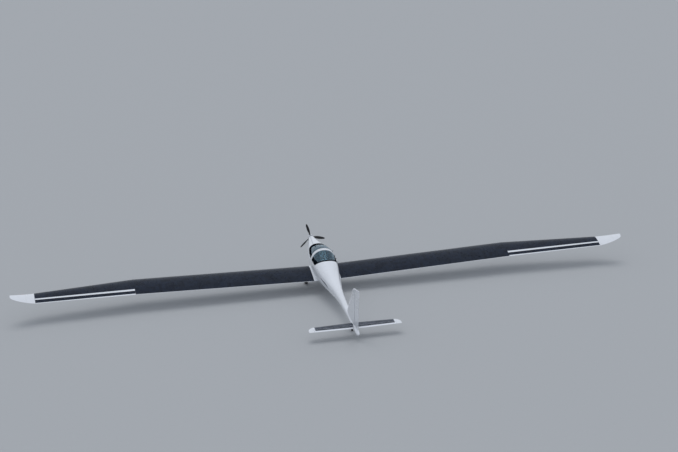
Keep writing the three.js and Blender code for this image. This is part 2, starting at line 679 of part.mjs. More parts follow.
function stabilizer() {
  const { root, fullChordFrom } = STAB;
  const [overlapEnd, overlapRake] = STAB_RAKE[1];
  const rear = ELEVATOR.y - ELEVATOR.topGap;
  const front = solidOf(loft([stabRing(root, rear), stabRing(fullChordFrom, rear), stabRing(overlapEnd, rear, overlapRake)]));
  const whole = solidOf(loft(STAB_RAKE.map(([x, rake]) => stabRing(x, null, rake))));
  const { y, z, pin, pinLength } = ELEVATOR;
  const bore = rod([fullChordFrom - 5, y, z], [fullChordFrom + pinLength + 5, y, z], pin + PIN_GAP);
  return front.add(whole).subtract(bore).subtract(hull(7300, HULL_STATIONS.at(-1)[0], -SEAT_GAP));
}

function elevator() {
  const { y, z, root, tube, pin, pinLength } = ELEVATOR;
  const end = STAB.fullChordFrom - MOVING_GAP;
  const half = solidOf(loft([elevatorRing(root), elevatorRing(end)]));
  const outerPin = rod([end - 10, y, z], [end + MOVING_GAP + pinLength, y, z], pin);
  const port = half.add(outerPin);
  return port.add(port.mirror([1, 0, 0])).add(rod([-root - 30, y, z], [root + 30, y, z], tube));
}

function tilted(point, z) {
  const share = Math.max(0, (z - FIN_STATIONS[0][0]) / (FIN_STATIONS.at(-1)[0] - FIN_STATIONS[0][0]));
  return new THREE.Vector3(point[0], point[1], z + share * FIN_TOP_TILT * (point[1] - FIN_HINGE));
}

function finRing([z, front, thickness]) {
  const back = FIN_HINGE - FIN_GAP;
  const chord = 8560 - front;
  const ring = [];
  for (let i = 10; i >= -10; i -= 1) {
    const u = ((back - front) / chord) * (1 - Math.cos((Math.abs(i) / 10) * (Math.PI / 2)));
    const half = foilSides(u, thickness / chord, 0)[0] * chord;
    ring.push(tilted([Math.sign(i) * half, front + u * chord], z));
  }
  return ring;
}

function rudderRing([z, trailing, nose]) {
  const ring = [];
  for (let i = 0; i <= 10; i += 1) {
    const angle = (Math.PI * i) / 10;
    ring.push(tilted([nose * Math.cos(angle), FIN_HINGE - nose * Math.sin(angle)], z));
  }
  const middle = FIN_HINGE + (trailing - FIN_HINGE) * 0.4;
  const swell = nose * 0.68;
  for (const [x, y] of [[-swell, middle], [-TRAILING_HALF, trailing], [TRAILING_HALF, trailing], [swell, middle]]) {
    ring.push(tilted([x, y], z));
  }
  return ring;
}

function finPieces() {
  const { z, thickness, half, notch } = RUDDER_BRACKET;
  const { radius, foot } = RUDDER_PIN;
  const plate = block([-half, half], [FIN_HINGE - FIN_GAP - 10, FIN_HINGE + half], [z - thickness / 2, z + thickness / 2])
    .subtract(rod([0, FIN_HINGE, z - 20], [0, FIN_HINGE, z + 20], radius + PIN_GAP));
  const fin = solidOf(loft(FIN_STATIONS.map(finRing))).subtract(hull(6600, HULL_STATIONS.at(-1)[0], -SEAT_GAP)).add(plate);
  const slot = block([-60, 60], [FIN_HINGE - 60, FIN_HINGE + half + MOVING_GAP + 2], [z - notch / 2, z + notch / 2]);
  const rudder = solidOf(loft(RUDDER_STATIONS.map(rudderRing))).subtract(slot)
    .add(rod([0, FIN_HINGE, z - notch], [0, FIN_HINGE, z + notch], radius))
    .add(rod([0, FIN_HINGE, foot], [0, FIN_HINGE, RUDDER_STATIONS[0][0] + 20], radius));
  return [['fin', fin, WHITE], ['rudder', rudder, WHITE]];
}

// Gear

function mainGearPieces() {
  const rings = LEG_STATIONS.map(([x, y, z, width, thickness], i) => {
    const [before, after] = [LEG_STATIONS[Math.max(i - 1, 0)], LEG_STATIONS[Math.min(i + 1, LEG_STATIONS.length - 1)]];
    const along = new THREE.Vector2(after[0] - before[0], after[2] - before[2]).normalize();
    const count = 16;
    return Array.from({ length: count }, (_, k) => {
      const angle = (2 * Math.PI * k) / count;
      const off = (Math.sin(angle) * thickness) / 2;
      return new THREE.Vector3(x - along.y * off, y + (Math.cos(angle) * width) / 2, z + along.x * off);
    });
  });
  const pad = block([LEG.padX - LEG.padWidth, LEG.padX], [MAIN.y - LEG.padY, MAIN.y + LEG.padY], [MAIN.z - LEG.padZ, MAIN.z + LEG.padZ]);
  const leg = solidOf(loft(rings)).add(pad)
    .intersect(block([0, LEG.padX], [2000, 3000], [-1000, 0]))
    .subtract(hull(2000, 3000, -SEAT_GAP));
  const face = LEG.padX + SEAT_GAP;
  const axle = rod([face, MAIN.y, MAIN.z], [face + AXLE.flangeWidth, MAIN.y, MAIN.z], AXLE.flange)
    .add(rod([face, MAIN.y, MAIN.z], [AXLE.end, MAIN.y, MAIN.z], AXLE.radius));
  return [
    ['main_gear_leg', leg, WHITE],
    ['main_axle', axle, METAL],
    ['main_rim', wheel(RIM_PROFILE, MAIN.x, MAIN.y, MAIN.z), METAL],
    ['main_tyre', wheel(TYRE_PROFILE, MAIN.x, MAIN.y, MAIN.z), RUBBER],
  ];
}

function tailGearPieces() {
  const { bottom, radius, block: span, half, top, bore } = TAIL_STRUT;
  const strut = block([-half, half], span, [0, top]).add(rod([0, TAIL.pivot, bottom], [0, TAIL.pivot, 10], radius))
    .subtract(hull(7300, 8000, -SEAT_GAP))
    .subtract(rod([0, TAIL.pivot, bottom - 5], [0, TAIL.pivot, TAIL_FORK.stem + 3], bore + PIN_GAP));
  const [low, high] = TAIL_FORK.crown;
  const [armIn, armOut] = TAIL_FORK.arm;
  let fork = block([-armOut, armOut], [TAIL.pivot - 24, TAIL.pivot + 40], [low, high])
    .add(rod([0, TAIL.pivot, high - 4], [0, TAIL.pivot, TAIL_FORK.stem], bore));
  for (const side of [-1, 1]) {
    const x = side < 0 ? [-armOut, -armIn] : [armIn, armOut];
    const arm = loft(x.map((at) => [
      [TAIL.pivot - 24, high], [TAIL.pivot + 40, high], [TAIL.y + 22, TAIL.z], [TAIL.y, TAIL_FORK.foot], [TAIL.y - 22, TAIL.z],
    ].map(([y, z]) => new THREE.Vector3(at, y, z))));
    fork = fork.add(solidOf(arm));
  }
  fork = fork.subtract(rod([-60, TAIL.y, TAIL.z], [60, TAIL.y, TAIL.z], TAIL_AXLE.radius + SEAT_GAP));
  const axle = rod([-TAIL_AXLE.half, TAIL.y, TAIL.z], [TAIL_AXLE.half, TAIL.y, TAIL.z], TAIL_AXLE.radius);
  return [
    ['tail_wheel_strut', strut, WHITE],
    ['tail_wheel_fork', fork, METAL],
    ['tail_wheel_axle', axle, METAL],
    ['tail_wheel_rim', wheel(TAIL_RIM_PROFILE, 0, TAIL.y, TAIL.z), METAL],
    ['tail_wheel_tyre', wheel(TAIL_TYRE_PROFILE, 0, TAIL.y, TAIL.z), RUBBER],
  ];
}

// The parked attitude: the pitch at which both wheels' lowest points lie on one level

const drop = Math.hypot(TAIL.y - MAIN.y, TAIL.z - MAIN.z);
const noseUp = Math.asin((TAIL.radius - MAIN.radius) / drop) - Math.atan2(TAIL.z - MAIN.z, TAIL.y - MAIN.y);
const rudderTop = tilted([0, RUDDER_STATIONS.at(-1)[1]], RUDDER_STATIONS.at(-1)[0]);
const aftEnd = rudderTop.y * Math.cos(noseUp) - rudderTop.z * Math.sin(noseUp);
const foreEnd = SPINNER.tip * Math.cos(noseUp);
const axleDrop = MAIN.y * Math.sin(noseUp) + MAIN.z * Math.cos(noseUp);

const aircraft = new THREE.Group();
aircraft.rotation.x = noseUp;
aircraft.position.set(0, -(foreEnd + aftEnd) / 2, MAIN.radius - axleDrop);

function place(name, shape, material) {
  const mesh = new THREE.Mesh(shape.isBufferGeometry ? shape : geometryOf(shape), material);
  mesh.name = name;
  aircraft.add(mesh);
}

const single = [
  ...propellerPieces(), ...fuselagePieces(), ...canopyPieces(), ...cockpitPieces(), ...finPieces(), ...tailGearPieces(),
  ['elevator', elevator(), WHITE],
];
for (const [name, shape, material] of single) place(name, shape, material);

const paired = [...wingPieces(), ['stabilizer', stabilizer(), CELLS], ...mainGearPieces()];
for (const [name, shape, material] of paired) {
  const port = shape.isBufferGeometry ? shape : geometryOf(shape);
  place(`${name}_left`, port, material);
  place(`${name}_right`, mirrored(port), material);
}

const model = new THREE.Group();
model.add(aircraft);

export default model;
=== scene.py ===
"""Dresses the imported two-seat solar-powered aircraft, one class for each sub-assembly.

Sizes are millimetres in the aircraft's own axes: x to port, y aft from a datum ahead of the spinner and z up
from the thrust line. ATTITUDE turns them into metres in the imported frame, where it stands on its wheels.
"""

import logging
import math
from dataclasses import dataclass, field
from enum import Enum
from typing import Callable, Iterable, Optional, Sequence, Union

import bmesh
import bpy
import numpy as np
from mathutils import Matrix, Vector


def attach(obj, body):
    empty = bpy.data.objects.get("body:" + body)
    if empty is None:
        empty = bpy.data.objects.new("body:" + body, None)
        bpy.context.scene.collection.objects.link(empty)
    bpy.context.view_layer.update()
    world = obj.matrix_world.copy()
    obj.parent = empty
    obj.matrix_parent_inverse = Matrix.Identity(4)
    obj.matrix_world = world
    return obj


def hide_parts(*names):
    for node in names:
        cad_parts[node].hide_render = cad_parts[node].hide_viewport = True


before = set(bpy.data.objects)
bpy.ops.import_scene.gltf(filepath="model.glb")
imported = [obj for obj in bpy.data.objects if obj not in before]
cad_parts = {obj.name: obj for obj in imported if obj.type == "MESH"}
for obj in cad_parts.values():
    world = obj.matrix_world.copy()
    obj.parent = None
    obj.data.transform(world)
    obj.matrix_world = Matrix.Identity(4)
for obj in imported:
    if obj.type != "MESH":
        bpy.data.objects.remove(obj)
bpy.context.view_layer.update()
LOG = logging.getLogger("solar_aircraft")

Point = tuple[float, float, float]
Colour = tuple[float, float, float]
Outline = Sequence[tuple[float, float]]
Node = bpy.types.Node
Socket = bpy.types.NodeSocket
Thing = bpy.types.Object

PORT, AFT, UP = (1.0, 0.0, 0.0), (0.0, 1.0, 0.0), (0.0, 0.0, 1.0)
OPEN = (False, False)
SIGNS = (-1, 1)


class Side(Enum):
    """Which side a paired piece is on; the value is the sign of its x."""

    LEFT = 1
    RIGHT = -1

    @property
    def label(self) -> str:
        """The side's name as the bodies spell it."""
        return self.name.lower()


class Slot(Enum):
    """Material slots of the record."""

    WHITE = "gelcoat_white"
    CELLS = "solar_cells"
    BAND = "canopy_frame"
    GLASS = "canopy_glass"
    BLACK = "black_composite"
    INTERIOR = "interior_grey"
    CLOTH = "seat_fabric"
    METAL = "metal"
    STEEL = "steel"
    RUBBER = "tyre"


class MetalGrain(Enum):
    """How a metal surface was worked; the value is the grain's scale and its stretch along each axis."""

    BRUSHED = (240.0, (1.0, 0.04, 1.0))
    TURNED = (900.0, (1.0, 0.02, 0.02))
    CAST = (260.0, (1.0, 1.0, 1.0))


@dataclass(frozen=True)
class Attitude:
    """How the parked aircraft stands: its pitch about x and the shift on to its three wheels."""

    pitch: float = -0.12910331457057686
    y: float = -4459.782374815583
    z: float = 1281.4810866409189

    def turned(self, points: np.ndarray) -> np.ndarray:
        """Directions pitched as the aircraft stands.

        Args:
            points: Directions in the aircraft's axes.

        Returns:
            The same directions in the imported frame.
        """
        x, y, z = np.moveaxis(np.asarray(points, float), -1, 0)
        cos, sin = math.cos(self.pitch), math.sin(self.pitch)
        return np.stack([x, y * cos - z * sin, y * sin + z * cos], -1)

    def placed(self, points: np.ndarray) -> np.ndarray:
        """Places in millimetres in the aircraft's axes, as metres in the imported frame."""
        return (self.turned(points) + np.array([0.0, self.y, self.z])) / 1000.0


ATTITUDE = Attitude()


# Shapes


@dataclass
class Shape:
    """Points and faces of a mesh in the making, with a place on the flat sheet for each face corner."""

    points: np.ndarray
    faces: list[tuple[int, ...]]
    sheet: Optional[np.ndarray] = None

    def on(self, side: Side) -> "Shape":
        """The shape itself to port, or its mirror image to starboard.

        Args:
            side: The side that it goes to.

        Returns:
            The shape on that side.
        """
        if side is Side.LEFT:
            return self
        sheet = self.sheet
        if sheet is not None:
            ends = np.cumsum([len(face) for face in self.faces])[:-1]
            sheet = np.concatenate([part[::-1] for part in np.split(sheet, ends)])
        return Shape(self.points * np.array([-1.0, 1.0, 1.0]), [face[::-1] for face in self.faces], sheet)

    def moved(self, offset: Sequence[float]) -> "Shape":
        """The shape shifted by an offset."""
        return Shape(self.points + np.asarray(offset, float), self.faces, self.sheet)

    def spun(self, degrees: float, axis: Sequence[float] = UP) -> "Shape":
        """The shape turned about an axis through the origin, right-handed."""
        turn = np.array(Matrix.Rotation(math.radians(degrees), 3, Vector(axis)))
        return Shape(self.points @ turn.T, self.faces, self.sheet)

    def laid(self, origin: Sequence[float], across: Sequence[float], up: Sequence[float]) -> "Shape":
        """The shape carried from its own axes on to a surface.

        Args:
            origin: Where its origin goes.
            across: Direction of its x axis.
            up: Direction of its z axis, made square to the x axis.

        Returns:
            The shape in its new place.
        """
        x_axis = unit(across)
        y_axis = unit(np.cross(unit(up), x_axis))
        turn = np.stack([x_axis, y_axis, np.cross(x_axis, y_axis)])
        return Shape(self.points @ turn + np.asarray(origin, float), self.faces, self.sheet)

    def on_axle(self, origin: Sequence[float]) -> "Shape":
        """The shape with its z axis laid to port, as on a wheel's axle."""
        return self.laid(origin, AFT, PORT)

    def aft(self, origin: Sequence[float]) -> "Shape":
        """The shape with its z axis laid aft, as on an instrument panel."""
        return self.laid(origin, PORT, AFT)

    def trimmed(self, planes: Iterable[tuple[Point, Point]], keep: Callable[[Vector], bool]) -> "Shape":
        """The shape cut along planes, with only the faces whose middle passes a test.

        Args:
            planes: A point and a normal for each cut.
            keep: Says whether the face with this middle stays.

        Returns:
            The cut shape, without its places on the sheet.
        """
        mesh = bmesh.new()
        corners = [mesh.verts.new(point) for point in self.points]
        for face in self.faces:
            mesh.faces.new([corners[i] for i in face])
        for point, normal in planes:
            parts = mesh.verts[:] + mesh.edges[:] + mesh.faces[:]
            bmesh.ops.bisect_plane(mesh, geom=parts, plane_co=point, plane_no=normal, dist=0.02)
        gone = [face for face in mesh.faces if not keep(face.calc_center_median())]
        bmesh.ops.delete(mesh, geom=gone, context="FACES")
        return taken(mesh)


def taken(mesh: bmesh.types.BMesh) -> Shape:
    """The shape of a mesh in the making, which is given back.

    Args:
        mesh: The mesh.

    Returns:
        Its points and faces.
    """
    mesh.verts.index_update()
    points = np.array([corner.co[:] for corner in mesh.verts], float)
    shape = Shape(points, [tuple(corner.index for corner in face.verts) for face in mesh.faces])
    mesh.free()
    return shape


def unit(direction: Sequence[float]) -> np.ndarray:
    """The direction with length 1."""
    return np.asarray(direction, float) / np.linalg.norm(np.asarray(direction, float))


def together(*shapes: Shape) -> Shape:
    """Several loose shapes as one.

    Args:
        shapes: The shapes.

    Returns:
        All their points and faces.
    """
    faces, start = [], 0
    for shape in shapes:
        faces.extend(tuple(i + start for i in face) for face in shape.faces)
        start += len(shape.points)
    sheets = [shape.sheet for shape in shapes]
    sheet = None if any(part is None for part in sheets) else np.concatenate(sheets)
    return Shape(np.concatenate([shape.points for shape in shapes]), faces, sheet)


def skin(
    rows: np.ndarray,
    closed: bool = True,
    caps: tuple[bool, bool] = (True, True),
    sheet: Optional[np.ndarray] = None,
) -> Shape:
    """Quads over a grid of points.

    Args:
        rows: The grid, rows by columns by 3.
        closed: Whether the last column joins the first.
        caps: Whether the first and the last row are closed by a flat face.
        sheet: Places on the flat sheet, rows by columns (one more where closed) by 2.

    Returns:
        The skin, facing out where columns run from port over the top and rows run aft.
    """
    rows = np.asarray(rows, float)
    count, width, _ = rows.shape
    faces, corners = [], []
    for i in range(count - 1):
        for k in range(width if closed else width - 1):
            n = (k + 1) % width
            faces.append((i * width + k, (i + 1) * width + k, (i + 1) * width + n, i * width + n))
            if sheet is not None:
                corners.extend((sheet[i, k], sheet[i + 1, k], sheet[i + 1, k + 1], sheet[i, k + 1]))
    last = count - 1
    ends = ((0, range(width)), (last, range(last * width + width - 1, last * width - 1, -1)))
    for (row, face), capped in zip(ends, caps):
        if closed and capped:
            faces.append(tuple(face))
            if sheet is not None:
                corners.extend(sheet[row, i % width] for i in face)
    return Shape(rows.reshape(-1, 3), faces, None if sheet is None else np.array(corners))


def looped(rows: np.ndarray) -> Shape:
    """A closed skin over rows of which the last is the first one again.

    Args:
        rows: The grid of points.

    Returns:
        The skin, without the double row.
    """
    count = (len(rows) - 1) * rows.shape[1]
    shape = skin(rows, caps=OPEN)
    return Shape(shape.points[:count], [tuple(i % count for i in face) for face in shape.faces])


def lathe(outline: Outline, segments: int = 64, ring: bool = False) -> Shape:
    """A shape turned about its own z axis.

    Args:
        outline: Radius and height of each point.
        segments: Number of steps round the axis.
        ring: Whether the last point joins the first, as in a tyre.

    Returns:
        The turned shape.
    """
    turns = np.linspace(0, 2 * math.pi, segments, endpoint=False)
    line = np.array(list(outline) + ([outline[0]] if ring else []), float)
    radius = np.maximum(line[:, :1], 1e-3)
    rows = np.stack([radius * np.cos(turns), radius * np.sin(turns), np.repeat(line[:, 1:], segments, 1)], -1)
    return looped(rows) if ring else skin(rows)


def tube(
    path: Sequence[Point], radius: Union[float, Sequence[float]], sides: int = 12, closed: bool = False
) -> Shape:
    """A round rod that follows a path.

    Args:
        path: Points of its middle line.
        radius: Radius of the rod, or one for each point.
        sides: Number of sides.
        closed: Whether its end joins its start.

    Returns:
        The rod.
    """
    line = np.asarray(path, float)
    following = np.roll(line, -1, 0) - line if closed else np.gradient(line, axis=0)
    if closed:
        following = following + np.roll(following, 1, 0)
    across = np.array(PORT if abs(unit(following[0])[2]) > 0.9 else UP)
    turns = np.linspace(0, 2 * math.pi, sides, endpoint=False)
    rows = []
    for place, ahead, size in zip(line, following, np.broadcast_to(np.asarray(radius, float), (len(line),))):
        ahead = unit(ahead)
        across = unit(across - ahead * np.dot(across, ahead))
        other = np.cross(ahead, across)
        rows.append(place + size * (np.outer(np.cos(turns), across) + np.outer(np.sin(turns), other)))
    return looped(np.array(rows + rows[:1])) if closed else skin(np.array(rows))


def block(size: Sequence[float], round_off: float = 0.0, steps: int = 3) -> Shape:
    """A box about the origin with rounded edges.

    Args:
        size: Length along each axis.
        round_off: Radius of the edges.
        steps: Number of steps round an edge.

    Returns:
        The box.
    """
    mesh = bmesh.new()
    bmesh.ops.create_cube(mesh, size=1.0)
    bmesh.ops.scale(mesh, vec=Vector(size), verts=mesh.verts)
    if round_off > 0:
        how = {"offset": round_off, "segments": steps, "profile": 0.5, "affect": "EDGES"}
        bmesh.ops.bevel(mesh, geom=mesh.edges[:], **how)
    return taken(mesh)


def plate(outline: Outline, thickness: float) -> Shape:
    """A flat plate from an outline in its own x and y, its back on the plane z = 0."""
    flat = np.array(outline, float)
    return skin(np.array([np.column_stack([flat, np.full(len(flat), z)]) for z in (0.0, thickness)]))


def rounded_outline(width: float, height: float, radius: float, steps: int = 5) -> list[tuple[float, float]]:
    """A rectangle about the origin with rounded corners.

    Args:
        width: Its width.
        height: Its height.
        radius: Radius of its corners.
        steps: Number of steps round a corner.

    Returns:
        Its points in turn.
    """
    points = []
    for k, (sx, sy) in enumerate(((1, 1), (-1, 1), (-1, -1), (1, -1))):
        for angle in math.pi / 2 * (k + np.arange(steps + 1) / steps):
            x = sx * (width / 2 - radius) + radius * math.cos(angle)
            points.append((x, sy * (height / 2 - radius) + radius * math.sin(angle)))
    return points


def smooth(table: Sequence[Sequence[float]], at: np.ndarray, column: int) -> np.ndarray:
    """A smooth curve through a table whose first column is the place along it.

    Args:
        table: Rows of the place and its values.
        at: Places to look up.
        column: Which value.

    Returns:
        The value at each place.
    """
    places, values = (np.array([row[k] for row in table], float) for k in (0, column))
    i = np.clip(np.searchsorted(places, at, side="left") - 1, 0, len(places) - 2)
    before = np.maximum(np.arange(len(places)) - 1, 0)
    after = np.minimum(np.arange(len(places)) + 1, len(places) - 1)
    slopes = (values[after] - values[before]) / (places[after] - places[before])
    width, rise = places[i + 1] - places[i], values[i + 1] - values[i]
    t = (np.asarray(at, float) - places[i]) / width
    bend = (slopes[i] * width - rise) * (1 - t) + (rise - slopes[i + 1] * width) * t
    return values[i] + rise * t + t * (1 - t) * bend


def looked_up(table: Sequence[Sequence[float]], at: float) -> list[float]:
    """All values of a table at one place, by a smooth curve."""
    return [float(smooth(table, at, column)) for column in range(1, len(table[0]))]


def arc_lengths(rows: np.ndarray) -> np.ndarray:
    """Length along each row of points from its first point."""
    steps = np.linalg.norm(np.diff(rows, axis=1), axis=2)
    return np.concatenate([np.zeros((len(rows), 1)), np.cumsum(steps, 1)], 1)


# Node trees


class Graph:
    """Adds nodes to one node tree and joins their sockets."""

    def __init__(self, tree: bpy.types.NodeTree) -> None:
        """Takes the tree that the nodes go into."""
        self.tree = tree

    def add(self, kind: str, **settings: object) -> Node:
        """One shader node.

        Args:
            kind: Its type, without the words that all types start with.
            settings: Its properties.

        Returns:
            The node.
        """
        node = self.tree.nodes.new(f"ShaderNode{kind}")
        for name, value in settings.items():
            setattr(node, name, value)
        return node

    def feed(self, socket: Socket, value: object) -> None:
        """Links a socket to another one, or sets its value.

        Args:
            socket: The input.
            value: The other socket, or the value.
        """
        if isinstance(value, Socket):
            self.tree.links.new(value, socket)
        else:
            socket.default_value = value

    def fill(self, node: Node, **values: object) -> None:
        """Feeds a node's inputs by name; an underscore stands for a space."""
        for name, value in values.items():
            self.feed(node.inputs[name.replace("_", " ")], value)

    def wired(self, node: Node, values: Sequence[object], inputs: Sequence[int] = (0, 1, 2, 3, 4)) -> Node:
        """Feeds a node's inputs by their numbers.

        Args:
            node: The node.
            values: What goes in.
            inputs: The number of each value's input.

        Returns:
            The node.
        """
        for index, value in zip(inputs, values):
            self.feed(node.inputs[index], (*value, 1.0) if isinstance(value, tuple) else value)
        return node

    def math(self, operation: str, *values: object) -> Socket:
        """The result of one Math node."""
        return self.wired(self.add("Math", operation=operation), values).outputs[0]

    def product(self, first: object, *others: object) -> Socket:
        """All values multiplied.

        Args:
            first: The first value.
            others: The others.

        Returns:
            The product's socket.
        """
        for value in others:
            first = self.math("MULTIPLY", first, value)
        return first

    def linear(self, at: object, start: object, slope: object) -> Socket:
        """start + slope * at."""
        return self.math("MULTIPLY_ADD", at, slope, start)

    def span(self, value: object, low: float, high: float, to: tuple[float, float] = (0.0, 1.0)) -> Socket:
        """The value carried smoothly from one range to another."""
        node = self.add("MapRange", interpolation_type="SMOOTHSTEP")
        return self.wired(node, (value, low, high, *to)).outputs[0]

    def blend(self, share: object, a: object, b: object) -> Socket:
        """Colour a going over to colour b."""
        return self.wired(self.add("Mix", data_type="RGBA"), (share, a, b), (0, 6, 7)).outputs[2]

    def number(self, share: object, a: object, b: object) -> Socket:
        """Number a going over to number b."""
        return self.wired(self.add("Mix", data_type="FLOAT"), (share, a, b), (0, 2, 3)).outputs[0]

    def place(self) -> Socket:
        """The place on the piece, in metres."""
        return self.add("TexCoord").outputs["Object"]

    def axes(self, vector: Socket) -> Sequence[Socket]:
        """The three parts of a vector."""
        return self.wired(self.add("SeparateXYZ"), (vector,)).outputs

    def noise(self, scale: object, detail: float = 2.0, stretch: Optional[Point] = None) -> Socket:
        """Cloudy values about 0.5.

        Args:
            scale: Clouds per metre.
            detail: Number of finer layers.
            stretch: Scale along each axis before the clouds are looked up.

        Returns:
            The value's socket.
        """
        where = self.place()
        if stretch:
            shift = self.add("Mapping")
            self.fill(shift, Vector=where, Scale=stretch)
            where = shift.outputs[0]
        node = self.add("TexNoise")
        self.fill(node, Vector=where, Scale=scale, Detail=detail)
        return node.outputs["Fac"]

    def bump(
        self, height: object, distance: float, strength: float = 1.0, onto: Optional[Socket] = None
    ) -> Socket:
        """A normal from a height.

        Args:
            height: The height's socket.
            distance: Metres for a height of 1.
            strength: How strongly it counts.
            onto: The normal that it lies on.

        Returns:
            The normal's socket.
        """
        node = self.add("Bump")
        self.fill(node, Distance=distance, Strength=strength, Height=height)
        if onto is not None:
            self.fill(node, Normal=onto)
        return node.outputs[0]

    def effect(self, tree: bpy.types.NodeTree, **values: object) -> Sequence[Socket]:
        """The outputs of a shared effect, with its inputs set by name.

        Args:
            tree: The effect's group.
            values: Its inputs.

        Returns:
            Its outputs.
        """
        node = self.add("Group", node_tree=tree)
        self.fill(node, **values)
        return node.outputs

    def soil(self, scale: float, amount: float) -> Socket:
        """Mask of the shared dust and streaks."""
        return self.effect(EFFECTS.soil(), Scale=scale, Amount=amount)["Mask"]

    def wear(self, scale: float, amount: float) -> Socket:
        """Mask of the shared edge wear."""
        return self.effect(EFFECTS.wear(), Scale=scale, Amount=amount)["Mask"]

    def ripple(self, waves: float, peel: float, share: float) -> Socket:
        """Height of the shared waves and orange peel."""
        return self.effect(EFFECTS.ripple(), Waves=waves, Peel=peel, Wave_Share=share)["Height"]


Inputs = dict[str, Socket]


class Effects:
    """Effects that several finishes share, each a node group that is built once."""

    def __init__(self) -> None:
        """Starts with no group built."""
        self.trees: dict[str, bpy.types.NodeTree] = {}

    def group(
        self,
        name: str,
        inputs: dict[str, float],
        outputs: Sequence[str],
        build: Callable[[Graph, Inputs], Sequence[Socket]],
    ) -> bpy.types.NodeTree:
        """A node group, made at its first use.

        Args:
            name: Name of the group.
            inputs: Name and starting value of each input number.
            outputs: Name of each output value.
            build: Adds the nodes and gives a socket for each output.

        Returns:
            The group's tree.
        """
        if name in self.trees:
            return self.trees[name]
        tree = bpy.data.node_groups.new(name, "ShaderNodeTree")
        for label, value in inputs.items():
            socket = tree.interface.new_socket(name=label, in_out="INPUT", socket_type="NodeSocketFloat")
            socket.default_value = value
        for label in outputs:
            tree.interface.new_socket(name=label, in_out="OUTPUT", socket_type="NodeSocketFloat")
        graph = Graph(tree)
        start, end = (tree.nodes.new(kind) for kind in ("NodeGroupInput", "NodeGroupOutput"))
        made = build(graph, {label: start.outputs[label] for label in inputs})
        for label, socket in zip(outputs, made):
            graph.feed(end.inputs[label], socket)
        self.trees[name] = tree
        return tree

    def soil(self) -> bpy.types.NodeTree:
        """Thin dust and streaks that run aft; Mask is 1 where they are thickest."""
        return self.group("soil", {"Scale": 1.0, "Amount": 1.0}, ["Mask"], soil_nodes)

    def ripple(self) -> bpy.types.NodeTree:
        """Height of a sprayed or moulded surface: long waves and fine orange peel."""
        inputs = {"Waves": 5.0, "Peel": 350.0, "Wave Share": 6.0}
        return self.group("ripple", inputs, ["Height"], ripple_nodes)

    def wear(self) -> bpy.types.NodeTree:
        """Mask of worn outer edges, from how sharply the surface turns."""
        return self.group("edge_wear", {"Scale": 60.0, "Amount": 1.0}, ["Mask"], wear_nodes)

    def twill(self) -> bpy.types.NodeTree:
        """Two-over-two twill; Thread is which way a thread lies, Height its crown."""
        return self.group("twill", {"Threads": 400.0}, ["Thread", "Height"], twill_nodes)

    def cells(self) -> bpy.types.NodeTree:
        """Square solar cells with clipped corners, laid in rows from the rear edge of their film.

        Returns:
            The group: its outputs say what is cell, how each cell's tint differs and what is busbar.
        """
        inputs = {"Along": 0.0, "Across": 0.0, "Pitch": 0.127, "Half": 0.49, "Corner": 0.9}
        inputs |= {"Depth": 1.0, "Depth Slope": 0.0}
        return self.group("cell_grid", inputs, ["Cell", "Tint", "Bar"], cell_nodes)


def soil_nodes(graph: Graph, given: Inputs) -> Sequence[Socket]:
    """Two sizes of cloud and one set of streaks.

    Args:
        graph: The group's tree.
        given: The group's inputs.

    Returns:
        The mask.
    """
    scale = given["Scale"]
    wide = graph.noise(scale, 4.0)
    fine = graph.noise(graph.product(scale, 14.0), 3.0)
    streaks = graph.noise(graph.product(scale, 6.0), 2.0, (1.0, 0.08, 1.0))
    patchy = graph.product(graph.span(wide, 0.42, 0.72), graph.span(fine, 0.3, 0.75))
    lines = graph.product(graph.span(streaks, 0.52, 0.78), 0.6)
    return [graph.product(graph.math("MAXIMUM", patchy, lines), given["Amount"])]


def ripple_nodes(graph: Graph, given: Inputs) -> Sequence[Socket]:
    """Waves a hand wide and peel a few millimetres wide."""
    waves = graph.product(graph.noise(given["Waves"], 1.0), given["Wave Share"])
    return [graph.math("ADD", waves, graph.noise(given["Peel"], 2.0))]


def wear_nodes(graph: Graph, given: Inputs) -> Sequence[Socket]:
    """Outer edges, broken up by scratches.

    Args:
        graph: The group's tree.
        given: The group's inputs.

    Returns:
        The mask.
    """
    edge = graph.span(graph.add("NewGeometry").outputs["Pointiness"], 0.52, 0.6)
    broken = graph.span(graph.noise(given["Scale"], 5.0), 0.42, 0.6)
    return [graph.product(edge, broken, given["Amount"])]


def twill_nodes(graph: Graph, given: Inputs) -> Sequence[Socket]:
    """Threads counted both ways, the over and under set by their sum.

    Args:
        graph: The group's tree.
        given: The group's inputs.

    Returns:
        Which thread lies on top, and its crown.
    """
    x, y, z = graph.axes(graph.place())
    ways = [graph.product(way, given["Threads"]) for way in (x, graph.math("ADD", y, graph.product(z, 0.7)))]
    total = graph.math("ADD", *(graph.math("FLOOR", way) for way in ways))
    over = graph.math("LESS_THAN", graph.math("FLOORED_MODULO", total, 4.0), 1.9)
    crowns = [graph.math("SINE", graph.product(graph.math("FRACT", way), math.pi)) for way in ways]
    return [over, graph.number(over, *crowns)]


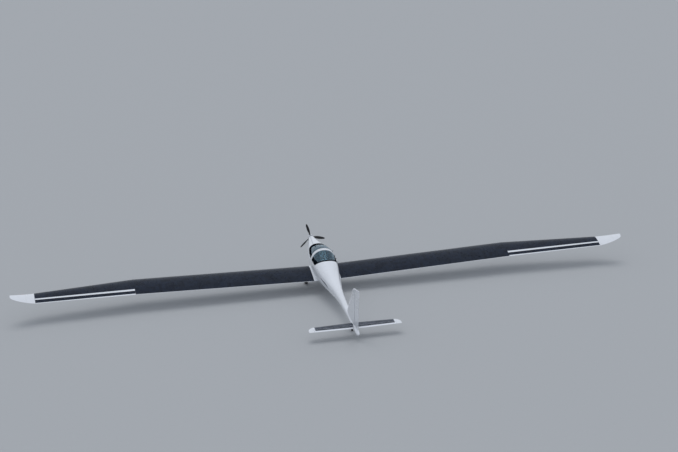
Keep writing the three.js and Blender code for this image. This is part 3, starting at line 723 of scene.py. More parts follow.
def cell_nodes(graph: Graph, given: Inputs) -> Sequence[Socket]:
    """The cell that a place is in, and where in it the place is.

    Args:
        graph: The group's tree.
        given: The group's inputs.

    Returns:
        Whether it is on a cell, the cell's chance number, and whether it is on a bar.
    """
    pitch = given["Pitch"]
    counts = [graph.math("DIVIDE", given[way], pitch) for way in ("Along", "Across")]
    column, row = (graph.math("FLOOR", count) for count in counts)
    a, b = (graph.math("SUBTRACT", graph.math("FRACT", count), 0.5) for count in counts)
    outs = [graph.math("ABSOLUTE", way) for way in (a, b)]
    middle = graph.product(graph.math("ADD", column, 0.5), pitch)
    room = graph.linear(middle, given["Depth"], given["Depth Slope"])
    cell = graph.product(
        graph.math("LESS_THAN", graph.math("MAXIMUM", *outs), given["Half"]),
        graph.math("LESS_THAN", graph.math("ADD", *outs), given["Corner"]),
        graph.math("LESS_THAN", graph.product(graph.math("ADD", row, 1.0), pitch), room),
        graph.math("GREATER_THAN", given["Across"], 0.0),
    )
    dice = graph.add("TexWhiteNoise", noise_dimensions="2D")
    graph.fill(dice, Vector=graph.wired(graph.add("CombineXYZ"), (column, row)).outputs[0])
    thirds = graph.math("FRACT", graph.linear(a, 0.5, 3.0))
    near = graph.math("ABSOLUTE", graph.math("SUBTRACT", thirds, 0.5))
    return [cell, dice.outputs["Value"], graph.product(graph.math("LESS_THAN", near, 0.018), cell)]


EFFECTS = Effects()


# Finishes


def shade(colour: Colour, share: float) -> Colour:
    """A colour made darker or lighter by a share, no part over 1."""
    return tuple(min(1.0, part * share) for part in colour)


@dataclass(frozen=True)
class Finish:
    """A surface finish; each kind adds its own nodes in dress()."""

    name: str
    slot: Slot = Slot.BLACK

    def material(self) -> bpy.types.Material:
        """A new material with this finish.

        Returns:
            The material.
        """
        material = bpy.data.materials.new(self.name)
        material.use_nodes = True
        shader = next(node for node in material.node_tree.nodes if node.type == "BSDF_PRINCIPLED")
        self.dress(Graph(material.node_tree), shader)
        return material

    def dress(self, graph: Graph, shader: Node) -> None:
        """Adds the finish's nodes; each kind has its own."""
        raise NotImplementedError


@dataclass(frozen=True)
class GelCoat(Finish):
    """Glossy gel coat over fibre composite, with light dust and hand-flatted waviness."""

    slot: Slot = Slot.WHITE
    colour: Colour = (0.78, 0.8, 0.84)
    soiled: Colour = (0.5, 0.5, 0.48)
    roughness: float = 0.2
    soil: float = 0.3

    def dress(self, graph: Graph, shader: Node) -> None:
        """Colour, dust, wear and a rippled coat.

        Args:
            graph: The material's tree.
            shader: Its shader.
        """
        soil = graph.soil(0.9, self.soil)
        cloud = graph.product(graph.span(graph.noise(1.7), 0.35, 0.7), 0.5)
        dusty = graph.blend(soil, graph.blend(cloud, self.colour, shade(self.colour, 0.95)), self.soiled)
        graph.fill(
            shader,
            Base_Color=graph.blend(graph.wear(45.0, 0.35), dusty, self.soiled),
            Roughness=graph.linear(soil, self.roughness, 0.5),
            Coat_Weight=0.5,
            Coat_Roughness=0.05,
            Normal=graph.bump(graph.ripple(4.0, 420.0, 10.0), 0.00006, 0.5),
        )


@dataclass(frozen=True)
class SolarSkin(Finish):
    """White skin with a dark film of solar cells on its top, laid out on the flat sheet in metres.

    The sheet's first number runs along the span, the second forward from the trailing edge over the top.
    """

    slot: Slot = Slot.CELLS
    span: tuple[float, float] = (0.0, 1.0)
    film: tuple[float, float] = (0.0, 1.0)
    rear: tuple[float, float] = (0.0, 0.0)
    front: tuple[float, float] = (1.0, 1.0)
    pitch: float = 0.127
    white: Colour = (0.78, 0.8, 0.84)
    backing: Colour = (0.0085, 0.0115, 0.018)
    cell: Colour = (0.0095, 0.0145, 0.027)
    bar: Colour = (0.045, 0.052, 0.068)
    dust: tuple[Colour, Colour] = ((0.42, 0.42, 0.41), (0.05, 0.055, 0.062))

    def line(self, values: Sequence[float], at: float = 0.0) -> tuple[float, float]:
        """Value at a place along the span and slope of a line with these values at both ends."""
        slope = (values[1] - values[0]) / (self.span[1] - self.span[0])
        return values[0] + slope * (at - self.span[0]), slope

    def dress(self, graph: Graph, shader: Node) -> None:
        """The film between its four edges, its cells, and the white skin round it.

        Args:
            graph: The material's tree.
            shader: Its shader.
        """
        along, across, _ = graph.axes(graph.add("UVMap", uv_map="sheet").outputs[0])
        rear, front = (graph.linear(along, *self.line(edge)) for edge in (self.rear, self.front))
        film = graph.product(
            graph.math("GREATER_THAN", across, rear),
            graph.math("LESS_THAN", across, front),
            graph.math("GREATER_THAN", along, self.film[0]),
            graph.math("LESS_THAN", along, self.film[1]),
        )
        depth, slope = self.line([f - r for f, r in zip(self.front, self.rear)], self.film[0])
        grid = graph.effect(
            EFFECTS.cells(),
            Along=graph.math("SUBTRACT", along, self.film[0]),
            Across=graph.math("SUBTRACT", across, rear),
            Pitch=self.pitch,
            Depth=depth,
            Depth_Slope=slope,
        )
        cell = graph.product(grid["Cell"], film)
        toned = graph.add("VectorMath", operation="SCALE")
        toned.inputs[0].default_value = self.cell
        graph.fill(toned, Scale=graph.span(grid["Tint"], 0.0, 1.0, (0.75, 1.3)))
        soil, dust = graph.soil(0.8, 0.14), graph.blend(film, *self.dust)
        silicon = graph.blend(grid["Bar"], graph.blend(cell, self.backing, toned.outputs[0]), self.bar)
        raised = graph.math("ADD", graph.product(film, 4.0), graph.product(cell, 3.0))
        rough = graph.number(film, 0.2, graph.number(cell, 0.34, 0.27))
        coat = graph.bump(graph.ripple(3.0, 300.0, 12.0), 0.00006, 0.5)
        graph.fill(
            shader,
            Base_Color=graph.blend(soil, graph.blend(film, self.white, silicon), dust),
            Roughness=graph.linear(soil, rough, 0.5),
            Coat_Weight=graph.number(film, 0.5, 0.02),
            Coat_Roughness=0.08,
            Specular_IOR_Level=0.16,
            Normal=graph.bump(raised, 0.0001, 0.6, coat),
        )


@dataclass(frozen=True)
class TintedGlass(Finish):
    """Blue-grey tinted acrylic with a little haze."""

    slot: Slot = Slot.GLASS
    tint: Colour = (0.25, 0.48, 0.63)
    roughness: float = 0.03

    def dress(self, graph: Graph, shader: Node) -> None:
        """Clear all through, hazed where dust lies.

        Args:
            graph: The material's tree.
            shader: Its shader.
        """
        soil = graph.soil(2.0, 0.25)
        graph.fill(
            shader,
            Base_Color=graph.blend(soil, self.tint, shade(self.tint, 0.8)),
            Roughness=graph.linear(soil, self.roughness, 0.4),
            IOR=1.49,
            Specular_IOR_Level=0.1,
            Transmission_Weight=0.92,
            Normal=graph.bump(graph.ripple(3.0, 60.0, 4.0), 0.00008, 0.4),
        )


@dataclass(frozen=True)
class Paint(Finish):
    """Sprayed or moulded paint: gloss, satin or speckled, by its numbers."""

    colour: Colour = (0.05, 0.05, 0.05)
    worn: Colour = (0.25, 0.25, 0.25)
    roughness: float = 0.4
    peel: float = 500.0
    depth: float = 0.00008
    mottle: float = 0.12
    speckle: float = 0.0
    shine: float = 0.5

    def dress(self, graph: Graph, shader: Node) -> None:
        """Colour with clouds, speckle and worn edges, over a grained surface.

        Args:
            graph: The material's tree.
            shader: Its shader.
        """
        cloud = graph.span(graph.noise(9.0, 3.0), 0.3, 0.7)
        tones = [tuple(c * (1 + sign * self.mottle) for c in self.colour) for sign in SIGNS]
        body = graph.blend(cloud, *tones)
        flecks = graph.product(graph.span(graph.noise(700.0, 1.0), 0.58, 0.68), self.speckle)
        body = graph.blend(flecks, body, tuple(min(1.0, c * 3.0 + 0.05) for c in self.colour))
        graph.fill(
            shader,
            Base_Color=graph.blend(graph.wear(70.0, 0.6), body, self.worn),
            Roughness=graph.linear(cloud, self.roughness, 0.12),
            Specular_IOR_Level=self.shine,
            Coat_Roughness=0.06,
            Normal=graph.bump(graph.ripple(30.0, self.peel, 1.0), self.depth, 0.6),
        )


@dataclass(frozen=True)
class Carbon(Finish):
    """Satin carbon fibre laid in twill under clear lacquer."""

    dark: Colour = (0.008, 0.008, 0.009)
    light: Colour = (0.02, 0.021, 0.023)
    worn: Colour = (0.09, 0.09, 0.1)
    threads: float = 420.0

    def dress(self, graph: Graph, shader: Node) -> None:
        """Threads that take the light two ways.

        Args:
            graph: The material's tree.
            shader: Its shader.
        """
        twill = graph.effect(EFFECTS.twill(), Threads=self.threads)
        body = graph.blend(twill["Thread"], self.dark, self.light)
        graph.fill(
            shader,
            Base_Color=graph.blend(graph.wear(80.0, 0.5), body, self.worn),
            Roughness=graph.number(twill["Thread"], 0.42, 0.34),
            Specular_IOR_Level=0.3,
            Coat_Weight=0.12,
            Coat_Roughness=0.12,
            Normal=graph.bump(twill["Height"], 0.00005, 0.4),
        )


@dataclass(frozen=True)
class Cloth(Finish):
    """Woven cover or webbing."""

    slot: Slot = Slot.CLOTH
    colour: Colour = (0.045, 0.05, 0.058)
    thread: Colour = (0.09, 0.1, 0.115)
    threads: float = 520.0
    sheen: float = 0.35

    def dress(self, graph: Graph, shader: Node) -> None:
        """Twill threads, faded patches and a soft sheen.

        Args:
            graph: The material's tree.
            shader: Its shader.
        """
        twill = graph.effect(EFFECTS.twill(), Threads=self.threads)
        faded = graph.span(graph.noise(14.0, 3.0), 0.35, 0.75)
        body = graph.blend(twill["Thread"], self.colour, self.thread)
        fuzz = graph.math("ADD", twill["Height"], graph.product(graph.noise(900.0), 0.5))
        graph.fill(
            shader,
            Base_Color=graph.blend(graph.product(faded, 0.35), body, self.thread),
            Roughness=graph.number(faded, 0.82, 0.93),
            Sheen_Weight=self.sheen,
            Sheen_Roughness=0.4,
            Normal=graph.bump(fuzz, 0.0004, 0.7),
        )


@dataclass(frozen=True)
class Metal(Finish):
    """Bare metal, brushed, turned or cast."""

    slot: Slot = Slot.METAL
    colour: Colour = (0.6, 0.61, 0.63)
    roughness: float = 0.32
    grain: MetalGrain = MetalGrain.BRUSHED

    def dress(self, graph: Graph, shader: Node) -> None:
        """Grain by how it was worked, dulled in patches.

        Args:
            graph: The material's tree.
            shader: Its shader.
        """
        scale, stretch = self.grain.value
        lines = graph.noise(scale, 3.0, stretch)
        dull = graph.span(graph.noise(12.0, 3.0), 0.4, 0.7)
        body = graph.blend(graph.product(dull, 0.6), self.colour, shade(self.colour, 0.66))
        graph.fill(
            shader,
            Base_Color=graph.blend(graph.wear(90.0, 0.6), body, shade(self.colour, 1.35)),
            Roughness=graph.linear(dull, graph.linear(lines, self.roughness, 0.16), 0.15),
            Metallic=1.0,
            Normal=graph.bump(lines, 0.0001, 0.5),
        )


@dataclass(frozen=True)
class Rubber(Finish):
    """Matt rubber, dusty where it meets the ground."""

    slot: Slot = Slot.RUBBER
    colour: Colour = (0.02, 0.02, 0.021)
    dust: Colour = (0.16, 0.15, 0.135)
    dustiness: float = 0.5

    def dress(self, graph: Graph, shader: Node) -> None:
        """Black with dust in its grain.

        Args:
            graph: The material's tree.
            shader: Its shader.
        """
        soil = graph.soil(9.0, self.dustiness)
        dusty = graph.blend(soil, self.colour, self.dust)
        graph.fill(
            shader,
            Base_Color=graph.blend(graph.wear(60.0, 0.4), dusty, self.dust),
            Roughness=graph.linear(soil, 0.72, 0.15),
            Normal=graph.bump(graph.ripple(40.0, 520.0, 1.5), 0.0003, 0.6),
        )


@dataclass(frozen=True)
class Lens(Finish):
    """Coloured clear plastic of a lamp or a display."""

    slot: Slot = Slot.GLASS
    colour: Colour = (0.6, 0.02, 0.01)
    clear: float = 0.6
    roughness: float = 0.08

    def dress(self, graph: Graph, shader: Node) -> None:
        """Even colour broken by the ribs moulded inside.

        Args:
            graph: The material's tree.
            shader: Its shader.
        """
        ribs = graph.span(graph.noise(240.0, 0.0, (1.0, 0.1, 1.0)), 0.35, 0.65)
        graph.fill(
            shader,
            Base_Color=graph.blend(ribs, self.colour, shade(self.colour, 0.8)),
            Roughness=graph.linear(ribs, self.roughness, 0.05),
            Transmission_Weight=self.clear,
            Coat_Weight=0.6,
        )


WHITE = GelCoat("gel_coat_white")
BAND = Paint(
    "canopy_band_black", Slot.BAND, colour=(0.004, 0.006, 0.009), worn=(0.012, 0.014, 0.018), roughness=0.5,
    depth=0.00002, shine=0.0,
)
GLASS = TintedGlass("canopy_acrylic")
CARBON = Carbon("carbon_twill")
LINING = Paint(
    "cockpit_lining_grey", Slot.INTERIOR, colour=(0.1, 0.115, 0.13), roughness=0.62, speckle=0.7, depth=0.0002
)
MATTING = Paint(
    "floor_matting", colour=(0.035, 0.036, 0.038), worn=(0.045, 0.046, 0.047), roughness=0.85, peel=220.0,
    depth=0.0006,
)
FACIA = Paint(
    "panel_crackle_black", colour=(0.02, 0.021, 0.023), worn=(0.05, 0.05, 0.052), roughness=0.6, peel=260.0,
    depth=0.0003,
)
KNOBS = Paint("knob_black", colour=(0.016, 0.016, 0.017), roughness=0.34, depth=0.00003)
MARKS = Paint("dial_marks", Slot.INTERIOR, colour=(0.75, 0.75, 0.7), roughness=0.5, depth=0.00002)
LEVER = Paint("lever_red", colour=(0.42, 0.02, 0.015), roughness=0.35, depth=0.00003)
SEALS = Rubber("door_seal", dustiness=0.15)
CLOTH = Cloth("seat_cloth")
PIPING = Cloth("seat_piping", colour=(0.2, 0.21, 0.23), thread=(0.3, 0.31, 0.33), threads=900.0)
WEBBING = Cloth(
    "belt_webbing", colour=(0.012, 0.017, 0.05), thread=(0.03, 0.04, 0.1), threads=700.0, sheen=0.2
)
ALUMINIUM = Metal("machined_aluminium", grain=MetalGrain.TURNED)
CASTING = Metal("cast_alloy", colour=(0.5, 0.51, 0.53), roughness=0.42, grain=MetalGrain.CAST)
STEEL = Metal("plain_steel", Slot.STEEL, colour=(0.42, 0.42, 0.43), roughness=0.3)
TYRE = Rubber("tyre_rubber")
TIP_LENSES = {
    Side.LEFT: Lens("port_lamp_red"),
    Side.RIGHT: Lens("starboard_lamp_green", colour=(0.01, 0.35, 0.12)),
}
CLEAR_LENS = Lens("tail_lamp_clear", colour=(0.9, 0.92, 0.95), clear=0.9)
SCREEN = Lens("display_glass", colour=(0.012, 0.02, 0.03), clear=0.0, roughness=0.1)


# Workshop


def given_mesh(thing: Thing) -> None:
    """Turns an object's modifiers into its mesh.

    Args:
        thing: The object.
    """
    final = bpy.data.meshes.new_from_object(thing.evaluated_get(bpy.context.evaluated_depsgraph_get()))
    thing.modifiers.clear()
    thing.data = final


def new_object(name: str, points: np.ndarray, faces: Sequence[tuple[int, ...]]) -> Thing:
    """An object in the scene with a mesh.

    Args:
        name: Its name.
        points: Its points in metres.
        faces: Its faces.

    Returns:
        The object.
    """
    mesh = bpy.data.meshes.new(name)
    mesh.from_pydata(np.asarray(points).tolist(), [], faces)
    thing = bpy.data.objects.new(name, mesh)
    bpy.context.scene.collection.objects.link(thing)
    return thing


class Workshop:
    """Turns shapes into pieces with their finish, their body and the solids that they stand for."""

    def __init__(self) -> None:
        """Starts with no material made."""
        self.materials: dict[Finish, bpy.types.Material] = {}

    def paint(self, finish: Finish) -> bpy.types.Material:
        """The finish's material, made at its first use."""
        if finish not in self.materials:
            self.materials[finish] = finish.material()
        return self.materials[finish]

    def piece(
        self,
        name: str,
        shapes: Union[Shape, Sequence[Shape]],
        finish: Finish,
        *stands_for: str,
        body: str = "airframe",
        closed: bool = True,
        wall: float = 0.0,
        lining: Optional[Finish] = None,
        bevel: float = 0.0,
        crease: float = 38.0,
    ) -> Thing:
        """Makes one piece and puts it on its body.

        Args:
            name: The piece's name.
            shapes: Its shape or shapes, in millimetres in the aircraft's axes.
            finish: Its finish.
            stands_for: The solids that it stands for.
            body: The body that it rides on.
            closed: Whether its faces are turned to point out; an open skin is left as it is.
            wall: Thickness given to an open skin, inwards.
            lining: Finish of the wall's inner face.
            bevel: Width of rounded edges.
            crease: Angle in degrees over which an edge stays sharp.

        Returns:
            The piece.
        """
        shape = shapes if isinstance(shapes, Shape) else together(*shapes)
        thing = new_object(name, ATTITUDE.placed(shape.points), shape.faces)
        mesh = thing.data
        if shape.sheet is not None:
            mesh.uv_layers.new(name="sheet").data.foreach_set("uv", shape.sheet.astype(np.float32).ravel())
        if closed:
            work = bmesh.new()
            work.from_mesh(mesh)
            bmesh.ops.recalc_face_normals(work, faces=work.faces)
            work.to_mesh(mesh)
            work.free()
        for coat in filter(None, (finish, lining)):
            mesh.materials.append(self.paint(coat))
        if wall:
            thick = thing.modifiers.new("wall", "SOLIDIFY")
            thick.thickness, thick.offset = wall / 1000.0, -1.0
            thick.material_offset = int(lining is not None)
        if bevel:
            rim = thing.modifiers.new("rim", "BEVEL")
            rim.width, rim.segments, rim.limit_method, rim.angle_limit = bevel / 1000.0, 2, "ANGLE", 0.8
        if thing.modifiers:
            given_mesh(thing)
        thing.data.polygons.foreach_set("use_smooth", [True] * len(thing.data.polygons))
        thing.data.set_sharp_from_angle(angle=math.radians(crease))
        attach(thing, body)
        if stands_for:
            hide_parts(*stands_for)
        LOG.info("%s on %s, %d faces", name, body, len(thing.data.polygons))
        return thing

    def pair(
        self,
        name: str,
        shapes: Union[Shape, Sequence[Shape]],
        finish: Finish,
        *stands_for: str,
        body: str = "airframe",
        **how: object,
    ) -> None:
        """Makes a piece to port and its mirror image to starboard; {} in a name stands for the side.

        Args:
            name: Both pieces' name.
            shapes: The port piece's shape or shapes.
            finish: Their finish.
            stands_for: The solids that they stand for.
            body: The body that they ride on.
            how: What else piece() takes.
        """
        port = shapes if isinstance(shapes, Shape) else together(*shapes)
        for side in Side:
            nodes = [node.format(side.label) for node in stands_for]
            ridden = body.format(side.label)
            self.piece(name.format(side.label), port.on(side), finish, *nodes, body=ridden, **how)

    def dress_node(self, node: str, finish: Finish) -> None:
        """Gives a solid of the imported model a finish.

        Args:
            node: The solid's name.
            finish: Its finish.
        """
        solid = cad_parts[node]
        solid.data.materials.clear()
        solid.data.materials.append(self.paint(finish))
        solid.data.set_sharp_from_angle(angle=math.radians(35))
        LOG.info("%s keeps its solid", node)


SHOP = Workshop()


# Fuselage


@dataclass
class Hull:
    """The fuselage's outer form: a rounded section that changes smoothly along it."""

    # y, top, bottom, half width and height of the widest line
    stations: tuple[tuple[float, ...], ...] = (
        (400, 92, -116, 108, -20),
        (630, 112, -190, 172, -45),
        (950, 176, -258, 252, -50),
        (1530, 316, -360, 390, -18),
        (2100, 520, -430, 470, 0),
        (2600, 600, -470, 498, 5),
        (3200, 470, -480, 485, -10),
        (3800, 385, -440, 410, -35),
        (4600, 330, -315, 285, 0),
        (5600, 282, -120, 162, 75),
        (6600, 250, -10, 108, 120),
        (7600, 225, 42, 86, 132),
        (8100, 208, 28, 80, 118),
        (8400, 186, 22, 75, 104),
        (8530, 164, 36, 55, 99),
        (8590, 122, 72, 16, 97),
    )
    squareness: float = 2.25  # 2 is an ellipse, more is boxier
    around: int = 112

    def sizes(self, y: np.ndarray, inset: float = 0.0) -> tuple[np.ndarray, ...]:
        """Half width, height of the widest line, and heights above and below it, at places along."""
        top, bottom, half, widest = (smooth(self.stations, y, column) for column in (1, 2, 3, 4))
        return half - inset, widest, top - widest - inset, widest - bottom - inset

    def at(self, y: object, turn: object, inset: float = 0.0) -> np.ndarray:
        """Places on the hull.

        Args:
            y: Places along it.
            turn: Turns from port over the top, in radians.
            inset: Distance in from the skin.

        Returns:
            The places.
        """
        y, turn = np.broadcast_arrays(np.asarray(y, float), np.asarray(turn, float))
        half, widest, above, below = self.sizes(y, inset)
        cos, sin = np.cos(turn), np.sin(turn)
        power = 2 / self.squareness
        x = half * np.sign(cos) * np.abs(cos) ** power
        rise = np.where(sin > 0, above, below) * np.sign(sin) * np.abs(sin) ** power
        return np.stack([x, y, widest + rise], -1)

    def half_at(self, y: object, z: object, inset: float = 0.0) -> np.ndarray:
        """Distance from the middle plane to the skin.

        Args:
            y: Places along it.
            z: Heights.
            inset: Distance in from the skin.

        Returns:
            The distances.
        """
        y, z = np.broadcast_arrays(np.asarray(y, float), np.asarray(z, float))
        half, widest, above, below = self.sizes(y, inset)
        share = np.clip(np.abs((z - widest) / np.where(z > widest, above, below)), 0, 1)
        return half * (1 - share**self.squareness) ** (1 / self.squareness)

    def side(self, y: float, z: float, inset: float = 0.0) -> np.ndarray:
        """The place on the port skin at a place along and a height."""
        return np.array([float(self.half_at(y, z, inset)), y, z])

    def facing(self, y: float, z: float) -> np.ndarray:
        """Which way the port skin faces there."""
        here = self.side(y, z)
        return unit(np.cross(self.side(y + 5, z) - here, self.side(y, z + 5) - here))

    def over(self, y: float, z: float, lift: float) -> np.ndarray:
        """The place at a distance out from the port skin."""
        return self.side(y, z) + lift * self.facing(y, z)

    def mount(self, part: Shape, y: float, z: float, along: Point = AFT) -> Shape:
        """A part on the port skin, its z axis out and its x axis along a direction."""
        return part.laid(self.side(y, z), along, self.facing(y, z))

    def inside(self, part: Shape, y: float, z: float, wall: float) -> Shape:
        """A part on the inner face of the port wall, its z axis into the cockpit."""
        return part.laid(self.side(y, z, wall), AFT, -self.facing(y, z))

    def turns(self) -> np.ndarray:
        """The turn of each point of a row."""
        return np.linspace(0, 2 * math.pi, self.around, endpoint=False)

    def grid(self, places: np.ndarray, inset: float = 0.0) -> np.ndarray:
        """Rows of the skin at places along it."""
        return self.at(places[:, None], self.turns(), inset)


HULL = Hull()


@dataclass(frozen=True)
class Cut:
    """A slanted plane across the fuselage, from a foot to a top, each y and z."""

    foot: tuple[float, float]
    top: tuple[float, float]

    @property
    def lean(self) -> float:
        """How far it leans aft for each step up."""
        return (self.top[0] - self.foot[0]) / (self.top[1] - self.foot[1])

    def y_at(self, z: object) -> object:
        """Where the plane is at a height."""
        return self.foot[0] + self.lean * (z - self.foot[1])

    def shifted(self, by: float) -> "Cut":
        """The same plane further aft."""
        return Cut((self.foot[0] + by, self.foot[1]), (self.top[0] + by, self.top[1]))

    def plane(self) -> tuple[Point, Point]:
        """A point on the plane and its normal, aft."""
        return (0.0, *self.foot), (0.0, 1.0, -self.lean)

    def arc(self, sill: float, inset: float, count: int = 49) -> np.ndarray:
        """Where the plane crosses the hull above the sill, from port to starboard.

        Args:
            sill: Height of both ends.
            inset: Distance in from the skin.
            count: Number of places.

        Returns:
            The places.
        """
        tops = []
        for share in np.linspace(0, 1, count):
            turn, y = math.pi * share, self.foot[0]
            for _ in range(12):
                low, high = 0.0, math.pi / 2
                for _ in range(30):
                    middle = (low + high) / 2
                    low, high = (middle, high) if HULL.at(y, middle, inset)[2] < sill else (low, middle)
                turn = low + (math.pi - 2 * low) * share
                y = float(self.y_at(HULL.at(y, turn, inset)[2]))
            tops.append(HULL.at(y, turn, inset))
        return np.array(tops)


def between(front: Cut, rear: Cut, bottom: float) -> Callable[[Vector], bool]:
    """A test whether a place lies above a level and between two cuts."""
    return lambda m: m.z > bottom and front.y_at(m.z) < m.y < rear.y_at(m.z)


@dataclass
class Fuselage:
    """Cowls, cockpit shell, tail cone and what is let into them."""

    cowl_front: float = 400
    firewall: float = 950
    pod_rear: float = 3900
    tail_rounding: float = 8400
    tail_end: float = 8590
    seam: float = 1.2
    cowl_wall: float = 10
    pod_wall: float = 25
    sill: float = 200
    lip: float = 14
    shaft_hole: float = 23
    opening: tuple[Cut, Cut] = (Cut((1650, 200), (1530, 310)), Cut((3150, 200), (3320, 420)))
    seal: tuple[float, float] = (5.5, 16.0)  # radius, and the middle's distance in from the skin
    # y and z along the middle of the cooling outlet and of the cowl's inlet, and their half height
    outlet: tuple[Point, ...] = (
        (3920, 54, 3),
        (4020, 36, 22),
        (4200, 34, 33),
        (4400, 40, 36),
        (4600, 36, 28),
        (4750, 14, 3),
    )
    inlet: tuple[Point, ...] = ((560, 30, 3), (600, 31, 12), (660, 33, 16), (700, 34, 14), (722, 35, 4))
    static_port: tuple[float, float] = (5200, 150)
    hatch: tuple[float, float] = (3560, 105)

    def build(self) -> None:
        """Makes every piece of the fuselage."""
        self.cowls()
        self.pod()
        self.tail_cone()
        self.sill_fittings()
        self.openings()
        self.cowl_fittings()
        self.charging_hatch()
        finishes = {"firewall": ALUMINIUM, "rear_bulkhead": LINING, "cockpit_floor": MATTING}
        finishes |= dict.fromkeys(("motor_block", "motor_mount", "battery_block"), CASTING)
        for node, finish in finishes.items():
            SHOP.dress_node(node, finish)

    def cowls(self) -> None:
        """Both halves of the nose cowl, round the shaft's hole with a rounded lip."""
        turns = HULL.turns()
        edge = HULL.at(self.cowl_front, turns, self.lip)
        hole = np.stack([np.cos(turns), np.zeros_like(turns), np.sin(turns)], -1) * self.shaft_hole
        hole[:, 1] = self.cowl_front
        rows = [hole + (edge - hole) * share for share in (0.0, 0.35, 0.7)]
        for angle in np.linspace(0, math.pi / 2, 7):
            row = HULL.at(self.cowl_front, turns, self.lip * (1 - math.sin(angle)))
            rows.append(row + (0, self.lip * (1 - math.cos(angle)), 0))
        rows.extend(HULL.grid(np.linspace(self.cowl_front + 30, self.firewall - self.seam, 24)))
        nose = skin(np.array(rows), caps=OPEN)
        for name, sign in (("upper", 1), ("lower", -1)):
            planes = [((0.0, 0.0, sign * self.seam), UP)]
            half = nose.trimmed(planes, lambda middle, s=sign: middle.z * s > self.seam)
            wall = {"closed": False, "wall": self.cowl_wall, "lining": CARBON}
            SHOP.piece(f"nose_cowl_{name}_skin", half, WHITE, f"nose_cowl_{name}", **wall)

    def pod(self) -> None:
        """The cockpit shell with its opening."""
        rows = HULL.grid(np.linspace(self.firewall, self.pod_rear, 84))
        planes = [((0.0, 0.0, self.sill), UP), *(cut.plane() for cut in self.opening)]
        inside = between(*self.opening, self.sill)
        shell = skin(rows, caps=OPEN).trimmed(planes, lambda middle: not inside(middle))
        wall = {"closed": False, "wall": self.pod_wall, "lining": LINING}
        SHOP.piece("cockpit_shell_skin", shell, WHITE, "cockpit_shell", **wall)

    def tail_cone(self) -> None:
        """The tail cone to its rounded end."""
        straight = np.linspace(self.pod_rear + 0.3, self.tail_rounding - 20, 90)
        rows = list(HULL.grid(np.concatenate([straight, np.linspace(self.tail_rounding, self.tail_end, 16)])))
        end, middle = rows[-1], rows[-1].mean(0)
        rows += [end * (1 - share) + middle * share for share in (0.3, 0.6, 0.85)]
        SHOP.piece("tail_cone_skin", skin(np.array(rows)), WHITE, "tail_cone")

    def sill_fittings(self) -> None:
        """Ears and pins of the canopy hinges along the starboard sill."""
        canopy = Canopies()
        thick, x, z = canopy.lug_thickness, canopy.axis_x, canopy.axis_z
        ears, pins = [], []
        for y in canopy.front_lugs + canopy.rear_lugs:
            front = y + thick / 2 + 3
            foot = float(HULL.half_at(front + thick / 2, 172)) - 8
            outline = [(-foot, 150), (-foot, 192), (x + 12, 205), (x + 9, 224)]
            outline += [(x, 227), (x - 10, 224), (x - 11, 205), (x - 8, 178)]
            ears.append(plate(outline, thick).spun(90, PORT).moved((0, front + thick, 0)))
            pins.append(tube([(x, y - thick / 2 - 4, z), (x, front + 14, z)], 5, 16))
        SHOP.piece("canopy_hinge_ears", ears, ALUMINIUM, bevel=1.5)
        SHOP.piece("canopy_hinge_pins", pins, STEEL)

    def strip(self, rows: Sequence[Point], lift: float, count: int = 40) -> np.ndarray:
        """Rows across a band that lies on the port skin.

        Args:
            rows: Place along, height of the band's middle, and its half height.
            lift: Distance out from the skin.
            count: Number of rows.

        Returns:
            The band's grid, five points wide.
        """
        grid = []
        for y in np.linspace(rows[0][0], rows[-1][0], count):
            z, half = looked_up(rows, y)
            grid.append([HULL.over(y, z + half * share, lift) for share in (1, 0.5, 0, -0.5, -1)])
        return np.array(grid)

    def openings(self) -> None:
        """Rubber along the cockpit's opening, and the slits that let warm air out and the cowl's inlets, each
        drawn as a dark sheet on the skin whose colour is painted shade for its mouth, with a white lip or
        rim.
        """
        radius, inset = self.seal
        level = self.sill - 1
        front, rear = (cut.shifted(by).arc(level, inset) for cut, by in zip(self.opening, (-3, 3)))
        port = np.array([HULL.side(y, level, inset) for y in np.linspace(front[0][1], rear[0][1], 70)[1:-1]])
        loop = [*front[::-1], *port, *rear, *(port * (-1, 1, 1))[::-1]]
        SHOP.piece("cockpit_opening_seal", tube(loop, radius, 10, closed=True), SEALS)
        # painted shade: a grey sheet on the skin stands in for the shade inside the outlet's mouth
        SHOP.pair("cooling_outlet_{}", skin(self.strip(self.outlet, 1.0), closed=False), LINING, closed=False)
        edge = self.strip(self.outlet, 2.0)[:, 0]
        size = 1.5 + 4.5 * np.sin(np.linspace(0, math.pi, len(edge)))
        SHOP.pair("cooling_outlet_lip_{}", tube(edge, size, 12), WHITE)
        # painted shade: a black sheet on the skin stands in for the shade inside the inlet's mouth
        SHOP.pair("cowl_inlet_{}", skin(self.strip(self.inlet, 0.8, 24), closed=False), FACIA, closed=False)
        rim = self.strip(self.inlet, 1.2, 24)
        edge = np.concatenate([rim[:, 0], rim[::-1, 4]])
        SHOP.pair("cowl_inlet_rim_{}", tube(edge, 2.2, 8, closed=True), WHITE)

    def cowl_fittings(self) -> None:
        """Quarter-turn fasteners along the cowl's seams, and the static ports."""
        head = lathe([(0, 2.2), (7, 2.2), (9.5, 1.2), (10, -3)], 20)
        groove = block((11, 1.6, 0.8)).moved((0, 0, 2.2))
        spots = [(y, z) for y in (440, 550, 670, 800, 910) for z in (16, -16)]
        spots += [(925, z) for z in (75, 125, -90, -165, -215)]
        parts = ((head, AFT), (groove, (0, 1, 0.6)))
        heads = [HULL.mount(part, *spot, along) for spot in spots for part, along in parts]
        SHOP.pair("cowl_fasteners_{}", heads, STEEL)
        port = lathe([(0, 1.2), (2, 1.2), (2.2, 0.6), (14, 0.6), (15, -2)], 28)
        SHOP.pair("static_port_{}", HULL.mount(port, *self.static_port), ALUMINIUM)

